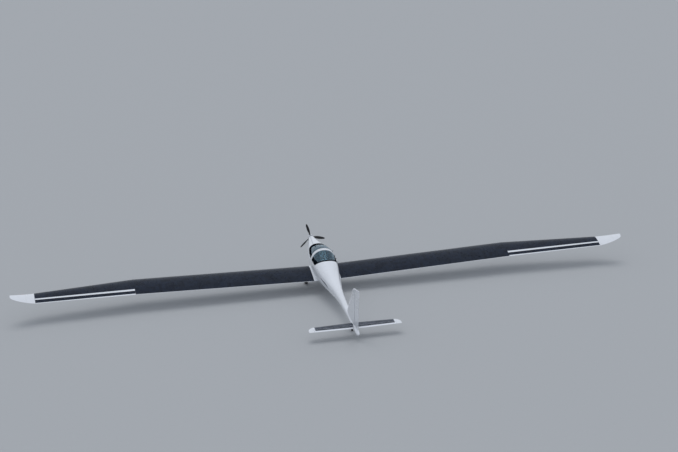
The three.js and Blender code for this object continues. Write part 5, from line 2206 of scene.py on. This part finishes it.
@dataclass
class Wings:
    """Both wings: root fairings, panels with their cells, ailerons, tips and lamps."""

    # x, y and z of the leading edge, chord, thickness ratio
    root: tuple[float, ...] = (540, 2300, -278, 1180, 0.14)
    kink: tuple[float, ...] = (7555, 2232, -122, 1125, 0.14)
    junction: tuple[float, ...] = (11400, 2722, -20, 735, 0.13)
    camber: float = 0.03
    incidence: float = math.radians(2)
    fairing_start: float = 140
    swells: tuple[tuple[float, float], ...] = ((120, 80), (250, 55), (400, 34), (470, 20), (540, 12))
    tip_end: float = 12330
    tip_sweep: float = 392
    tip_rise: float = 246
    tip_curl: float = 1.15
    tip_chords: tuple[tuple[float, float], ...] = (
        (0, 735), (0.25, 650), (0.5, 548), (0.72, 438), (0.88, 330), (0.96, 246), (1, 150),
    )
    lamp: tuple[float, float] = (0.42, 0.2)  # start and length of the lamp, by share of the tip
    aileron: tuple[float, float] = (7564, 11391)
    aileron_chords: tuple[float, float] = (305, 272)
    hinge_depth: float = 10
    top_gap: float = 9
    rake: float = 28
    rods: tuple[float, ...] = (8400, 9500, 10600)
    pitot: tuple[float, float] = (3400, 0.12)
    # edges of the films of cells, in metres from the trailing edge
    nose_margin: float = 0.028
    inner_rear: tuple[float, float] = (0.012, 0.012)
    stripe_rear: tuple[float, float] = (0.056, 0.026)
    stripe_front: tuple[float, float] = (0.217, 0.205)
    gap: float = 0.3

    def build(self) -> None:
        """Makes both wings."""
        self.fairings()
        self.panels()
        self.ailerons()
        self.tips()
        self.fittings()

    def station(self, x: float) -> np.ndarray:
        """The section at a distance from the middle plane.

        Args:
            x: The distance.

        Returns:
            x, y and z of its leading edge, its chord and its thickness ratio.
        """
        ends = (self.root, self.kink) if x < self.kink[0] else (self.kink, self.junction)
        first, last = np.array(ends, float)
        return first + (last - first) * (x - first[0]) / (last[0] - first[0])

    def on_section(self, station: Sequence[float], u: np.ndarray, height: np.ndarray) -> np.ndarray:
        """Places on a section.

        Args:
            station: The section's place and size.
            u: Shares of the chord from the nose.
            height: Heights for a chord of 1.

        Returns:
            The places.
        """
        x, y, z, chord = station[:4]
        cos, sin = math.cos(self.incidence), math.sin(self.incidence)
        u, height = np.broadcast_arrays(np.asarray(u, float), np.asarray(height, float))
        along, up = chord * (u * cos + height * sin), chord * (height * cos - u * sin)
        return np.stack([np.full(u.shape, float(x)), y + along, z + up], -1)

    def face(self, station: Sequence[float], u: object, under: bool, down: float = 0.0) -> np.ndarray:
        """Places on a section's top or underside, by share of the chord and a distance down."""
        height = foil_sides(u, station[4], self.camber)[int(under)] - down / station[3]
        return self.on_section(station, u, height)

    def ring(
        self, station: Sequence[float], end: float = 1.0, swell: float = 0.0, points: int = 34
    ) -> np.ndarray:
        """A section from its rear over the top to the nose and back underneath.

        Args:
            station: The section's place and size.
            end: Share of the chord where its rear is.
            swell: How far it stands proud of the plain section.
            points: Number of steps on each side.

        Returns:
            The row of points.
        """
        u = end * (1 - np.cos(np.linspace(0, 1, points + 1) * math.pi / 2))
        upper, lower = foil_sides(u, station[4], self.camber)
        grown = swell / station[3]
        taper = grown * np.minimum(1, 4 * (1 - u) + 0.2)
        over = self.on_section(station, u, upper + taper)[:0:-1]
        nose = self.on_section(station, [-grown], [0.0])
        return np.concatenate([over, nose, self.on_section(station, u, lower - taper)[1:]])

    def over_length(self, x: float) -> float:
        """Metres over the top from the trailing edge to the nose."""
        row = self.ring(self.station(x))
        return float(arc_lengths(row[None])[0, len(row) // 2]) / 1000

    def hinge_share(self, x: float) -> float:
        """Share of the chord where the aileron's hinge line is.

        Args:
            x: Distance from the middle plane.

        Returns:
            The share.
        """
        share = (x - self.kink[0]) / (self.junction[0] - self.kink[0])
        first, last = self.aileron_chords
        return 1 - (first + (last - first) * share) / float(self.station(x)[3])

    def tip_station(self, share: float) -> tuple[float, ...]:
        """The section of the upswept tip, by its share of the tip's span.

        Args:
            share: The share.

        Returns:
            x, y and z of its leading edge, its chord and its thickness ratio.
        """
        x, y, z, _, ratio = self.junction
        x += self.gap
        place = (y + self.tip_sweep * share, z + self.tip_rise * share**self.tip_curl)
        return x + (self.tip_end - x) * share, *place, *looked_up(self.tip_chords, share), ratio

    def fairings(self) -> None:
        """The root fairings, flared on to the fuselage."""
        end, *section = self.root
        steps = np.linspace(self.fairing_start, end, 60)
        stack = np.array([self.ring((x, *section), swell=looked_up(self.swells, x)[0]) for x in steps])
        outside = steps[:, None] - HULL.half_at(stack[..., 1], stack[..., 2]) + 3
        first = np.argmax(outside > 0, 0)
        before = np.maximum(first - 1, 0)
        columns = np.arange(stack.shape[1])
        low, high = outside[before, columns], outside[first, columns]
        share = np.where(first > 0, -low / np.where(high - low == 0, 1, high - low), 0)
        start = steps[before] + (steps[first] - steps[before]) * np.clip(share, 0, 1)
        rows = []
        for part in np.linspace(0, 1, 16) ** 1.3:
            x = start + (end - start) * part
            row = [[np.interp(at, steps, stack[:, k, axis]) for axis in (1, 2)] for k, at in enumerate(x)]
            rows.append(np.column_stack([x, row]))
        shape = skin(np.array(rows), caps=(False, True))
        SHOP.pair("wing_root_fairing_{}_skin", shape, WHITE, "wing_root_fairing_{}")

    def panels(self) -> None:
        """The straight inner panels, and the tapered outer ones ahead of the ailerons."""
        aileron_front = tuple(chord / 1000 for chord in self.aileron_chords)
        for name, first, last, count, rear in (
            ("inner", self.root[0], self.kink[0], 61, self.inner_rear),
            ("outer", self.kink[0], self.junction[0], 41, aileron_front),
        ):
            rows, behind = [], []
            for x in np.linspace(first + self.gap, last, count):
                station = self.station(x)
                end = 1.0 if name == "inner" else self.hinge_share(x) - self.top_gap / station[3]
                rows.append(self.ring(station, end))
                behind.append(station[3] * (1 - end))
            front = tuple(self.over_length(x) - self.nose_margin for x in (first, last))
            names = (f"wing_{name}_{{}}", f"cells_{name}_wing")
            self.solar(*names, np.array(rows), (first, last), rear, front, behind)

    def solar(
        self,
        name: str,
        finish: str,
        rows: np.ndarray,
        ends: tuple[float, float],
        rear: tuple[float, float],
        front: tuple[float, float],
        behind: object = 0.0,
        body: str = "airframe",
    ) -> None:
        """A pair of panels with cells.

        Args:
            name: The solids' name.
            finish: The finish's name.
            rows: The port panel's grid.
            ends: Both ends' distances from the middle plane.
            rear: The film's rear edge at both ends, in metres.
            front: Its front edge at both ends, in metres.
            behind: How far each row's first point is from the trailing edge.
            body: The body that they ride on.
        """
        span = (ends[0] / 1000, ends[1] / 1000)
        cells = SolarSkin(finish, span=span, film=(span[0] - 0.001, span[1] + 0.001), rear=rear, front=front)
        SHOP.pair(f"{name}_skin", skin(rows, sheet=wrapped(rows, behind)), cells, name, body=body)

    def ailerons(self) -> None:
        """Both ailerons with their two white strips, and their hinge pins."""
        rows = []
        for x in np.linspace(*self.aileron, 41):
            station, u = self.station(x), self.hinge_share(x)
            upper = self.face(station, np.linspace(1, u, 19), False)
            lower = self.face(station, np.linspace(u + self.rake / station[3], 1, 15), True)
            rows.append(np.concatenate([upper, lower]))
        rows = np.array(rows)
        edges = (self.aileron, self.stripe_rear, self.stripe_front)
        self.solar("aileron_{}", "cells_aileron", rows, *edges, body="aileron_{}")
        hinge = [(self.station(x), self.hinge_share(x)) for x in self.aileron]
        ends = [self.face(*place, False, self.hinge_depth) for place in hinge]
        ahead = unit(ends[1] - ends[0])
        pins = [tube([end + s * ahead * 30, end - s * ahead * 20], 6, 20) for end, s in zip(ends, (1, -1))]
        SHOP.pair("aileron_{}_pins", pins, STEEL, body="aileron_{}")

    def tips(self) -> None:
        """The white upswept tips, with a position lamp on the nose of each."""
        shares = np.concatenate([np.linspace(0, 0.9, 26), np.linspace(0.92, 1, 8)])
        rows = np.array([self.ring(self.tip_station(share)) for share in shares])
        SHOP.pair("wing_tip_{}_skin", skin(rows), WHITE, "wing_tip_{}")
        start, long = self.lamp
        u = np.abs(np.linspace(-0.06, 0.06, 17))
        grid = []
        for share in np.linspace(start, start + long, 12):
            station = self.tip_station(share)
            row = np.concatenate([self.face(station, u, False)[:9], self.face(station, u, True)[9:]])
            rise = 9 * math.sin(math.pi * (share - start) / long) ** 0.6
            row[:, 1] -= rise * np.sin(np.linspace(0, math.pi, len(row))) ** 0.7
            grid.append(row)
        for side in Side:
            SHOP.piece(f"tip_lamp_{side.label}", skin(np.array(grid)).on(side), TIP_LENSES[side])

    def fittings(self) -> None:
        """Control rod fairings under the ailerons, and a pitot tube under the port wing."""
        fairings = []
        size = 11 * np.sin(np.linspace(0.08, 0.97, 14) * math.pi) ** 0.7
        for x in self.rods:
            u = np.linspace(self.hinge_share(x) - 0.2, self.hinge_share(x) - 0.03, 14)
            fairings.append(tube(self.face(self.station(x), u, True), size, 16))
        SHOP.pair("aileron_rod_fairings_{}", fairings, WHITE)
        x, u = self.pitot
        foot = self.face(self.station(x), u, True)
        line = [foot + (0, y, z) for y, z in ((20, 6), (4, -34), (-24, -52), (-80, -56), (-230, -56))]
        mouth = lathe([(2.4, 1), (4.2, 1), (5, -4), (2.4, -4)], 24, ring=True)
        mouth = mouth.laid(foot + (0, -231, -56), PORT, (0, -1, 0))
        SHOP.piece("pitot_tube", [tube(line, (9, 8, 7, 6, 4.5), 20), mouth], STEEL)


# Tail


@dataclass
class Tail:
    """Tailplane with its cells, elevator, fin, rudder and tail lamp."""

    level: float = 166
    root: float = 40
    tip: float = 1760
    full_from: float = 1560
    ratio: float = 0.12
    fronts: tuple[float, float] = (7780, 7840)
    rears: tuple[float, float] = (8215, 8178)
    raked: tuple[tuple[float, float], ...] = ((1560, 0), (1640, 34), (1702, 84), (1746, 146), (1760, 215))
    elevator_y: float = 8025
    elevator_z: float = 174
    elevator_root: float = 100
    top_gap: float = 12
    rake: float = 12
    hinge: float = 8080
    fin_gap: float = 44
    fin_end: float = 8560
    tilt: float = 0.34
    # z, y of the leading edge, thickness
    fin: tuple[tuple[float, ...], ...] = (
        (120, 6723, 120),
        (700, 7070, 112),
        (1440, 7515, 84),
        (1600, 7605, 78),
        (1690, 7695, 66),
        (1730, 7800, 44),
    )
    flare: tuple[float, float] = (26, 190)  # width and height of the fin's foot
    # z, y of the trailing edge, nose radius
    rudder: tuple[tuple[float, ...], ...] = ((230, 8522, 32), (1690, 8590, 30), (1730, 8597, 22))
    bracket: float = 1050
    notch: float = 30
    film_nose: float = 0.016
    film_end: float = 1.51
    film_rear: float = 0.082  # metres from the trailing edge, on the elevator
    film_tone: Colour = (0.08, 0.089, 0.108)
    lamp: Point = (0, 8575, 97)

    def build(self) -> None:
        """Makes the tail."""
        self.stabilizers()
        self.elevator()
        self.fin_skin()
        self.rudder_skin()
        for name, outline, finish in (
            ("base", [(0, 6), (12, 6), (13, 3), (13, -6)], KNOBS),
            ("lens", [(0.1, 20), (5, 19), (9, 14), (10.5, 6), (10.5, 0)], CLEAR_LENS),
        ):
            SHOP.piece(f"tail_lamp_{name}", lathe(outline, 32).aft(self.lamp), finish)

    def chord_line(self, x: float, rake: float = 0.0) -> tuple[float, float]:
        """Leading and trailing edge of the tailplane at a distance from the middle.

        Args:
            x: The distance.
            rake: How far the leading edge is set back.

        Returns:
            Their places.
        """
        t = min(1.0, max(0.0, x / self.tip))
        front, rear = (first + (last - first) * t for first, last in (self.fronts, self.rears))
        return front + rake, rear

    def face(self, x: float, y: np.ndarray, rake: float = 0.0, sign: int = 1) -> np.ndarray:
        """Places on the tailplane's top or underside.

        Args:
            x: Distance from the middle.
            y: Places along the section.
            rake: How far its leading edge is set back.
            sign: 1 for the top, -1 for the underside.

        Returns:
            The places.
        """
        front, rear = self.chord_line(x, rake)
        half = foil_sides(np.maximum(y - front, 0) / (rear - front), self.ratio, 0.0)[0] * (rear - front)
        return np.column_stack([np.full_like(y, x), y, self.level + sign * half])

    def tail_row(self, x: float, rear: Optional[float], rake: float = 0.0, points: int = 24) -> np.ndarray:
        """A section of the tailplane.

        Args:
            x: Distance from the middle.
            rear: Its rear edge, or nothing where it is whole.
            rake: How far its leading edge is set back.
            points: Number of steps on each side.

        Returns:
            The row of points.
        """
        front, back = self.chord_line(x, rake)
        long = (back if rear is None else rear) - front
        y = front + long * (1 - np.cos(np.linspace(0, 1, points + 1) * math.pi / 2))
        return np.concatenate([self.face(x, y, rake)[:0:-1], self.face(x, y, rake, -1)])

    def cells(self, name: str, root: float, rear: float, front: tuple[float, float], slot: Slot) -> SolarSkin:
        """The finish of the tailplane's parts.

        Args:
            name: Its name.
            root: Where the part starts.
            rear: Rear edge of the film, in metres.
            front: Its front edge at both ends, in metres.
            slot: Its slot.

        Returns:
            The finish.
        """
        span = (root / 1000, self.full_from / 1000)
        edges = {"span": span, "film": (0.0, self.film_end), "rear": (rear, rear), "front": front}
        return SolarSkin(name, slot, pitch=0.066, backing=self.film_tone, cell=self.film_tone, **edges)

    def stabilizers(self) -> None:
        """Both halves of the tailplane: cells ahead of the elevator, a white raked tip."""
        rear = self.elevator_y - self.top_gap
        places = np.linspace(self.root, self.full_from, 25)
        rows = np.array([self.tail_row(x, rear) for x in places])
        behind = np.array([self.chord_line(x)[1] - rear for x in places])
        over = arc_lengths(rows)[:, rows.shape[1] // 2] + behind
        front = tuple(float(length) / 1000 - self.film_nose for length in over[[0, -1]])
        finish = self.cells("cells_tailplane", self.root, 0, front, Slot.CELLS)
        SHOP.pair("stabilizer_{}_skin", skin(rows, sheet=wrapped(rows, behind)), finish, "stabilizer_{}")
        ends = np.concatenate([np.linspace(self.full_from, 1700, 10), np.linspace(1706, self.tip, 14)])
        tips = [self.tail_row(x, None, looked_up(self.raked, x)[0]) for x in ends]
        SHOP.pair("stabilizer_{}_tip", skin(np.array(tips)), WHITE)

    def elevator(self) -> None:
        """The elevator in one piece through the tail cone."""
        rows = []
        for x in np.linspace(self.elevator_root, self.full_from - 6, 25):
            rear = self.chord_line(x)[1]
            top = np.linspace(rear, self.elevator_y, 14)
            low = np.linspace(self.elevator_y + self.rake, rear, 12)
            rows.append(np.concatenate([self.face(x, top), self.face(x, low, sign=-1)]))
        half = skin(np.array(rows), sheet=wrapped(np.array(rows)))
        finish = self.cells("cells_elevator", self.elevator_root, self.film_rear, (0.3, 0.3), Slot.WHITE)
        SHOP.piece("elevator_skin", [half, half.on(Side.RIGHT)], finish, "elevator", body="elevator")
        reach = self.full_from + 22
        ends = (((-130, 130), 11, 28), ((-1545, -reach), 5, 16), ((1545, reach), 5, 16))
        rods = [tube([(x, self.elevator_y, self.elevator_z) for x in xs], *size) for xs, *size in ends]
        SHOP.piece("elevator_shaft", rods, STEEL, body="elevator")

    def tilted(self, row: np.ndarray, z: float) -> np.ndarray:
        """A row of x and y at a height, tipped up towards the front near the top."""
        share = max(0.0, (z - self.fin[0][0]) / (self.fin[-1][0] - self.fin[0][0]))
        return np.column_stack([row, z + share * self.tilt * (row[:, 1] - self.hinge)])

    def fin_row(self, z: float, points: int = 26) -> np.ndarray:
        """A section of the fin, swelled at its foot.

        Args:
            z: Its height.
            points: Number of steps on each side.

        Returns:
            The row of points.
        """
        width, height = self.flare
        swell = width * max(0.0, 1 - (z - self.fin[0][0]) / height) ** 2.2
        front, thickness = looked_up(self.fin, z)
        back, chord = self.hinge - self.fin_gap, self.fin_end - front
        u = (back - front) / chord * (1 - np.cos(np.linspace(0, 1, points + 1) * math.pi / 2))
        half = foil_sides(u, thickness / chord, 0.0)[0] * chord + swell
        half[0] = 0
        y = front + u * chord - swell * (1 - u)
        port, starboard = np.column_stack([half, y])[:0:-1], np.column_stack([-half, y])
        return self.tilted(np.concatenate([port, starboard]), z)

    def fin_skin(self) -> None:
        """The fin, flared at its foot, with a rounded top and the rudder's middle bracket."""
        bands = ((120, 330, 16), (360, 1590, 34), (1605, 1730, 16))
        rows = [self.fin_row(z) for band in bands for z in np.linspace(*band)]
        top, middle = rows[-1], rows[-1].mean(0)
        rows += [top * (1 - s) + middle * s + np.array([0, 0, 6 * s]) for s in (0.15, 0.5)]
        SHOP.piece("fin_skin", skin(np.array(rows)), WHITE, "fin")
        lug = plate([(-12, -60), (12, -60), (12, 4), (7, 11), (-7, 11), (-12, 4)], 14)
        SHOP.piece("rudder_bracket", lug.moved((0, self.hinge, self.bracket - 7)), ALUMINIUM, bevel=1.0)

    def rudder_row(self, z: float, start: float = 0.0) -> np.ndarray:
        """A section of the rudder, rounded round its hinge or cut square aft of it.

        Args:
            z: Its height.
            start: Where it is cut, or 0 where it is rounded.

        Returns:
            The row of points.
        """
        trailing, nose = looked_up(self.rudder, z)
        places = (self.hinge, self.hinge + (trailing - self.hinge) * 0.4, trailing)
        at, front = np.linspace(start, trailing, 13), []
        if not start:
            at = np.linspace(self.hinge, trailing, 16)[1:]
            angle = np.linspace(0, math.pi, 19)
            front = list(zip(nose * np.cos(angle), self.hinge - nose * np.sin(angle)))
        half = np.interp(at, places, (nose, nose * 0.68, 2.0))
        return self.tilted(np.array([*zip(half[::-1], at[::-1]), *front, *zip(-half, at)]), z)

    def rudder_skin(self) -> None:
        """The rudder in three bands, notched round its bracket, with its hinge pins."""
        low, high = self.bracket - self.notch / 2, self.bracket + self.notch / 2
        lower = np.linspace(self.rudder[0][0], low, 18)
        upper = np.concatenate([np.linspace(high, 1690, 14), np.linspace(1697, 1730, 8)])
        ends = [skin(np.array([self.rudder_row(z) for z in places])) for places in (lower, upper)]
        middle = skin(np.array([self.rudder_row(z, self.hinge + 20) for z in (low, high)]), caps=OPEN)
        SHOP.piece("rudder_skin", [ends[0], middle, ends[1]], WHITE, "rudder", body="rudder")
        heights = ((178, 250), (self.bracket - self.notch, self.bracket + self.notch))
        pins = [tube([(0, self.hinge, z) for z in levels], 6, 20) for levels in heights]
        SHOP.piece("rudder_pins", pins, STEEL, body="rudder")


# Gear


@dataclass
class Gear:
    """Main legs with their wheels, and the steered tail wheel."""

    main: Point = (650, 2378, -802)
    radius: float = 180
    # x, y, z, width fore and aft, thickness
    leg: tuple[tuple[float, ...], ...] = (
        (180, 2470, -330, 130, 34),
        (300, 2458, -480, 120, 32),
        (420, 2430, -625, 104, 28),
        (520, 2400, -745, 92, 24),
        (568, 2384, -806, 84, 20),
    )
    pad_x: float = 575
    axle_end: float = 722
    tail: Point = (0, 7560, -220)
    tail_radius: float = 90
    pivot: float = 7510

    def build(self) -> None:
        """Makes the landing gear."""
        self.main_legs()
        self.main_axles()
        self.main_wheels()
        self.tail_strut()
        self.tail_fork()
        self.tail_wheel()

    def leg_place(self, t: float) -> np.ndarray:
        """x, y, z, width and thickness at a place along the leg, counted in stations."""
        return np.array(looked_up([(i, *row) for i, row in enumerate(self.leg)], t))

    def leg_start(self) -> float:
        """Where along the leg it leaves the fuselage's skin."""
        for t in np.linspace(0, 2, 201):
            x, y, z = self.leg_place(t)[:3]
            if x > float(HULL.half_at(y, z)) - 16:
                return float(t)
        return 0.0

    def leg_row(self, t: float, grow: float = 0.0) -> np.ndarray:
        """One section of the leg, rounded in front and behind.

        Args:
            t: Its place, counted in stations.
            grow: How far it stands proud of the leg.

        Returns:
            The row of points.
        """
        x, y, z, width, thickness = self.leg_place(t)
        ahead = self.leg_place(min(t + 0.05, 4))[:3] - self.leg_place(max(t - 0.05, 0))[:3]
        along = unit((ahead[0], ahead[2]))
        angle = np.linspace(0, 2 * math.pi, 40, endpoint=False)
        off = np.sin(angle) * (thickness / 2 + grow)
        wide = np.cos(angle) * (width / 2 + grow)
        return np.column_stack([x - along[1] * off, y + wide, z + along[0] * off])

    def main_legs(self) -> None:
        """Composite spring legs with their cuffs at the fuselage and their axle pads."""
        start = self.leg_start()
        rows = np.array([self.leg_row(t) for t in np.linspace(start, 4, 46)])
        rows[:, :, 0] = np.minimum(rows[:, :, 0], self.pad_x)
        pad = block((16, 92, 104), 5).moved((self.pad_x - 8, *self.main[1:]))
        SHOP.pair("main_gear_leg_{}_spring", [skin(rows), pad], WHITE, "main_gear_leg_{}")
        cuff = [self.leg_row(start + 0.02 + 0.2 * s, 9 * (1 - s) ** 1.5 + 1.2) for s in np.linspace(0, 1, 10)]
        SHOP.pair("main_gear_cuff_{}", skin(np.array(cuff)), SEALS)

    def main_axles(self) -> None:
        """Axles with their flanges, nuts and bolts, and the brake calipers."""
        _, y, z = self.main
        face = self.pad_x + 0.3
        end = self.axle_end - face
        line = [(0, end), (10, end), (12, end - 2), (12, 9), (32, 9), (34, 7), (34, 0), (0, 0)]
        nut = lathe([(12.1, 16), (17, 16), (19, 14), (19, 2), (12.1, 2)], 6, ring=True).on_axle((700, y, z))
        shaft = [lathe(line, 48).on_axle((face, y, z)), nut]
        bolt = lathe([(0, 7), (8, 7), (9, 6), (9, 0)], 6)
        bolts = []
        for turn in math.pi / 4 + math.pi / 2 * np.arange(4):
            spot = (self.pad_x - 16, y + 36 * math.cos(turn), z + 40 * math.sin(turn))
            bolts.append(bolt.laid(spot, AFT, (-1, 0, 0)))
        SHOP.pair("main_axle_{}_shaft", shaft, STEEL, "main_axle_{}")
        SHOP.pair("main_axle_{}_bolts", bolts, STEEL)
        caliper = block((26, 62, 44), 8).moved((596, y + 98, z + 6))
        arm = block((8, 84, 26), 3).moved((583, y + 62, z + 4))
        SHOP.pair("brake_caliper_{}", [caliper, arm], CASTING, bevel=1.0)

    def tyre(self, radius: float, bead: float, half: float, seat: float, grooves: Sequence[float]) -> Shape:
        """A tyre about its own z axis.

        Args:
            radius: Outer radius.
            bead: Radius of its beads.
            half: Half of its width.
            seat: Half of the width between its beads.
            grooves: Places of the grooves across the tread.

        Returns:
            The tyre.
        """
        middle, rise = (radius + bead) / 2, (radius - bead) / 2
        outline = []
        for angle in np.linspace(-0.5 * math.pi, 1.5 * math.pi, 120, endpoint=False):
            across, up = math.cos(angle), math.sin(angle)
            z = math.copysign(abs(across) ** 0.72, across) * half
            r = middle + math.copysign(abs(up) ** 0.86, up) * rise
            if up < -0.55:
                z *= 1 - (1 - seat / half) * min(1.0, (-up - 0.55) / 0.35) ** 0.5
            if up > 0:
                r -= sum(4.2 * math.exp(-(((z - groove) / 2.0) ** 4)) for groove in grooves)
            outline.append((r, z))
        return lathe(outline, 120, ring=True)

    def main_wheels(self) -> None:
        """Tyre, spoked rim, bolts and brake disc of the main wheels."""
        outline = [
            (12.5, -62), (28, -62), (30, -60), (30, -12), (34, -10), (54, -10), (58, -14), (58, -47),
            (60, -50), (75, -50), (76, -48), (66, -38), (64, -36), (64, 36), (66, 38), (76, 48), (75, 50),
            (60, 50), (58, 47), (58, 14), (54, 10), (34, 10), (30, 12), (30, 55), (28, 58), (12.5, 58),
        ]
        rib = block((24, 7, 30), 2).moved((43.5, 0, 18))
        bolt = lathe([(0, 15), (4.5, 15), (5, 14), (5, 9)], 6).moved((47, 0, 0))
        turns = range(0, 360, 60)
        valve = tube([(52, 6, 12), (56, 6, 26), (56.5, 6, 40)], (3, 2.4, 2.4), 12)
        disc = lathe([(31, -44), (57, -44), (57, -50), (31, -50)], 72, ring=True)
        tyre = self.tyre(self.radius, 64.5, 60, 40, (-24, -8, 8, 24))
        rim = [lathe(outline, 96, ring=True), *map(rib.spun, turns)]
        for name, parts, finish, nodes, crease in (
            ("tyre_{}_rubber", [tyre], TYRE, ["main_tyre_{}"], 60),
            ("wheel_{}_rim", rim, CASTING, ["main_rim_{}"], 38),
            ("wheel_{}_rim_bolts", [*(bolt.spun(turn + 30) for turn in turns), valve], STEEL, [], 38),
            ("wheel_{}_brake_disc", [disc], STEEL, [], 38),
        ):
            shape = together(*parts).on_axle(self.main)
            SHOP.pair(f"main_{name}", shape, finish, *nodes, body="main_wheel_{}", crease=crease)

    def tail_strut(self) -> None:
        """The strut under the tail cone in a small fairing, with its collar."""
        rows = []
        angle = np.linspace(0, 2 * math.pi, 48, endpoint=False)
        for z, grow in ((70, 6), (52, 4), (36, 0), (10, -6), (-16, -14), (-40, -20)):
            y = self.pivot + 2 + np.sin(angle) * (84 + 1.4 * grow) * (1 - 0.12 * np.sin(angle))
            rows.append(np.column_stack([np.cos(angle) * (34 + grow), y, np.full(len(y), float(z))]))
        SHOP.piece("tail_wheel_fairing", skin(np.array(rows)), WHITE, "tail_wheel_strut")
        rod = tube([(0, self.pivot, z) for z in (20, -92)], 22, 40)
        ring = lathe([(22.2, 8), (26, 8), (27, 6), (27, -6), (26, -8), (22.2, -8)], 48, ring=True)
        SHOP.piece("tail_wheel_post", [rod, ring.moved((0, self.pivot, -66))], STEEL)

    def tail_fork(self) -> None:
        """The steered fork with its rounded crown, arms, steering horn and axle."""
        crown = block((58, 64, 26), 9).moved((0, self.pivot + 8, -111))
        stem = lathe([(0, 26), (9, 26), (10, 25), (10, -12)], 32).moved((0, self.pivot, -92))
        outline = [(-24, 0), (40, 0), (72, -96), (68, -112), (58, -121), (42, -121), (31, -112), (28, -98)]
        arm = plate([(y, z - 102) for y, z in outline], 8)
        flat = arm.points[:, [2, 0, 1]] + (29, self.pivot, 0)
        arms = [Shape(flat * (s, 1, 1), arm.faces) for s in SIGNS]
        horn = block((104, 15, 6), 2.5).moved((0, self.pivot + 2, -96))
        fork = [crown, stem, *arms, horn]
        SHOP.piece("tail_wheel_fork_casting", fork, CASTING, "tail_wheel_fork", body="tail_fork", bevel=1.5)
        axle = lathe([(0, 46), (5, 46), (6, 45), (6, -45), (5, -46), (0, -46)], 32)
        nut = lathe([(6.1, 45), (9, 45), (10, 44), (10, 38), (6.1, 38)], 6, ring=True)
        shape = together(axle, nut, nut.spun(180, PORT)).on_axle(self.tail)
        SHOP.piece("tail_wheel_axle_shaft", shape, STEEL, "tail_wheel_axle", body="tail_fork")

    def tail_wheel(self) -> None:
        """The small tyre on its rim."""
        outline = [
            (6.5, -26), (13, -26), (14, -25), (14, -8), (34, -8), (44, -18), (46, -18), (47, -16), (40, -11),
            (40, 11), (47, 16), (46, 18), (44, 18), (34, 8), (14, 8), (14, 25), (13, 26), (6.5, 26),
        ]
        bolt = lathe([(0, 12), (3.4, 12), (4, 11), (4, 7)], 6).moved((24, 0, 0))
        bolts = together(*(bolt.spun(turn) for turn in range(0, 360, 72)))
        tyre = self.tyre(self.tail_radius, 40.5, 22, 12, (-6, 6))
        for name, shape, finish, nodes, crease in (
            ("tyre_rubber", tyre, TYRE, ["tail_wheel_tyre"], 60),
            ("rim_casting", lathe(outline, 72, ring=True), CASTING, ["tail_wheel_rim"], 38),
            ("rim_bolts", bolts, STEEL, [], 38),
        ):
            placed = shape.on_axle(self.tail)
            SHOP.piece(f"tail_{name}", placed, finish, *nodes, body="tail_wheel", crease=crease)


# Studio


@dataclass
class Studio:
    """Pale floor, soft sky and the camera of the photograph."""

    picture: tuple[int, int] = (678, 452)
    focal: float = 1720  # pixels
    eye: Point = (13395.6, 61550.2, 32204.9)
    heading: float = -0.2338
    down: float = 0.4682
    roll: float = 0.0102
    sensor: float = 36
    floor_size: float = 400
    floor_colour: Colour = (0.42, 0.43, 0.44)

    def build(self) -> None:
        """Sets the floor, the light and the camera."""
        self.floor()
        self.sky()
        self.camera()
        bpy.context.scene.view_settings.view_transform = "Standard"

    def floor(self) -> None:
        """A plain floor under the wheels."""
        half = self.floor_size / 2
        corners = [(x * half, y * half, 0) for x, y in ((-1, -1), (1, -1), (1, 1), (-1, 1))]
        floor = new_object("studio_floor", np.array(corners), [(0, 1, 2, 3)])
        paint = Paint("studio_floor_paint", colour=self.floor_colour, roughness=0.9, depth=0.0, mottle=0.0)
        floor.data.materials.append(SHOP.paint(paint))

    def sky(self) -> None:
        """Soft light, brightest overhead, with one wide lamp for the shadows."""
        world = bpy.data.worlds.new("studio_sky")
        bpy.context.scene.world = world
        world.use_nodes = True
        graph = Graph(world.node_tree)
        height = graph.span(graph.axes(graph.add("TexCoord").outputs["Generated"])[2], -0.1, 0.9)
        sky = graph.blend(height, (0.78, 0.83, 0.9), (0.7, 0.75, 0.83))
        graph.fill(world.node_tree.nodes["Background"], Color=sky, Strength=0.8)
        lamp = bpy.data.lights.new("overhead_softbox", "SUN")
        lamp.energy, lamp.angle = 0.9, 0.7
        thing = bpy.data.objects.new("overhead_softbox", lamp)
        thing.rotation_euler = (0.35, 0.0, 0.0)
        thing.visible_glossy = False
        bpy.context.scene.collection.objects.link(thing)

    def camera(self) -> None:
        """The camera where the photograph was taken from."""
        cos, sin = math.cos(self.down), math.sin(self.down)
        ahead = np.array([math.sin(self.heading) * cos, -math.cos(self.heading) * cos, -sin])
        level = unit(np.cross(ahead, UP))
        above = np.cross(level, ahead)
        right = level * math.cos(self.roll) + above * math.sin(self.roll)
        axes = ATTITUDE.turned(np.array([right, np.cross(right, ahead), -ahead]))
        lens = bpy.data.cameras.new("photo_camera")
        lens.sensor_width = self.sensor
        lens.lens = self.focal * self.sensor / self.picture[0]
        lens.clip_end = 1000
        camera = bpy.data.objects.new("photo_camera", lens)
        turn = Matrix(axes.T.tolist()).to_4x4()
        turn.translation = Vector(ATTITUDE.placed(np.array(self.eye)).tolist())
        camera.matrix_world = turn
        bpy.context.scene.collection.objects.link(camera)
        bpy.context.scene.camera = camera


def main() -> None:
    """Builds the aircraft and its studio."""
    logging.basicConfig(level=logging.INFO, format="%(message)s")
    for assembly in (Studio(), Fuselage(), Canopies(), Cockpit(), Propeller(), Wings(), Tail(), Gear()):
        assembly.build()
        LOG.info("%s is done", type(assembly).__name__)
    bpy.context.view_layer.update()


if __name__ == "__main__":
    main()
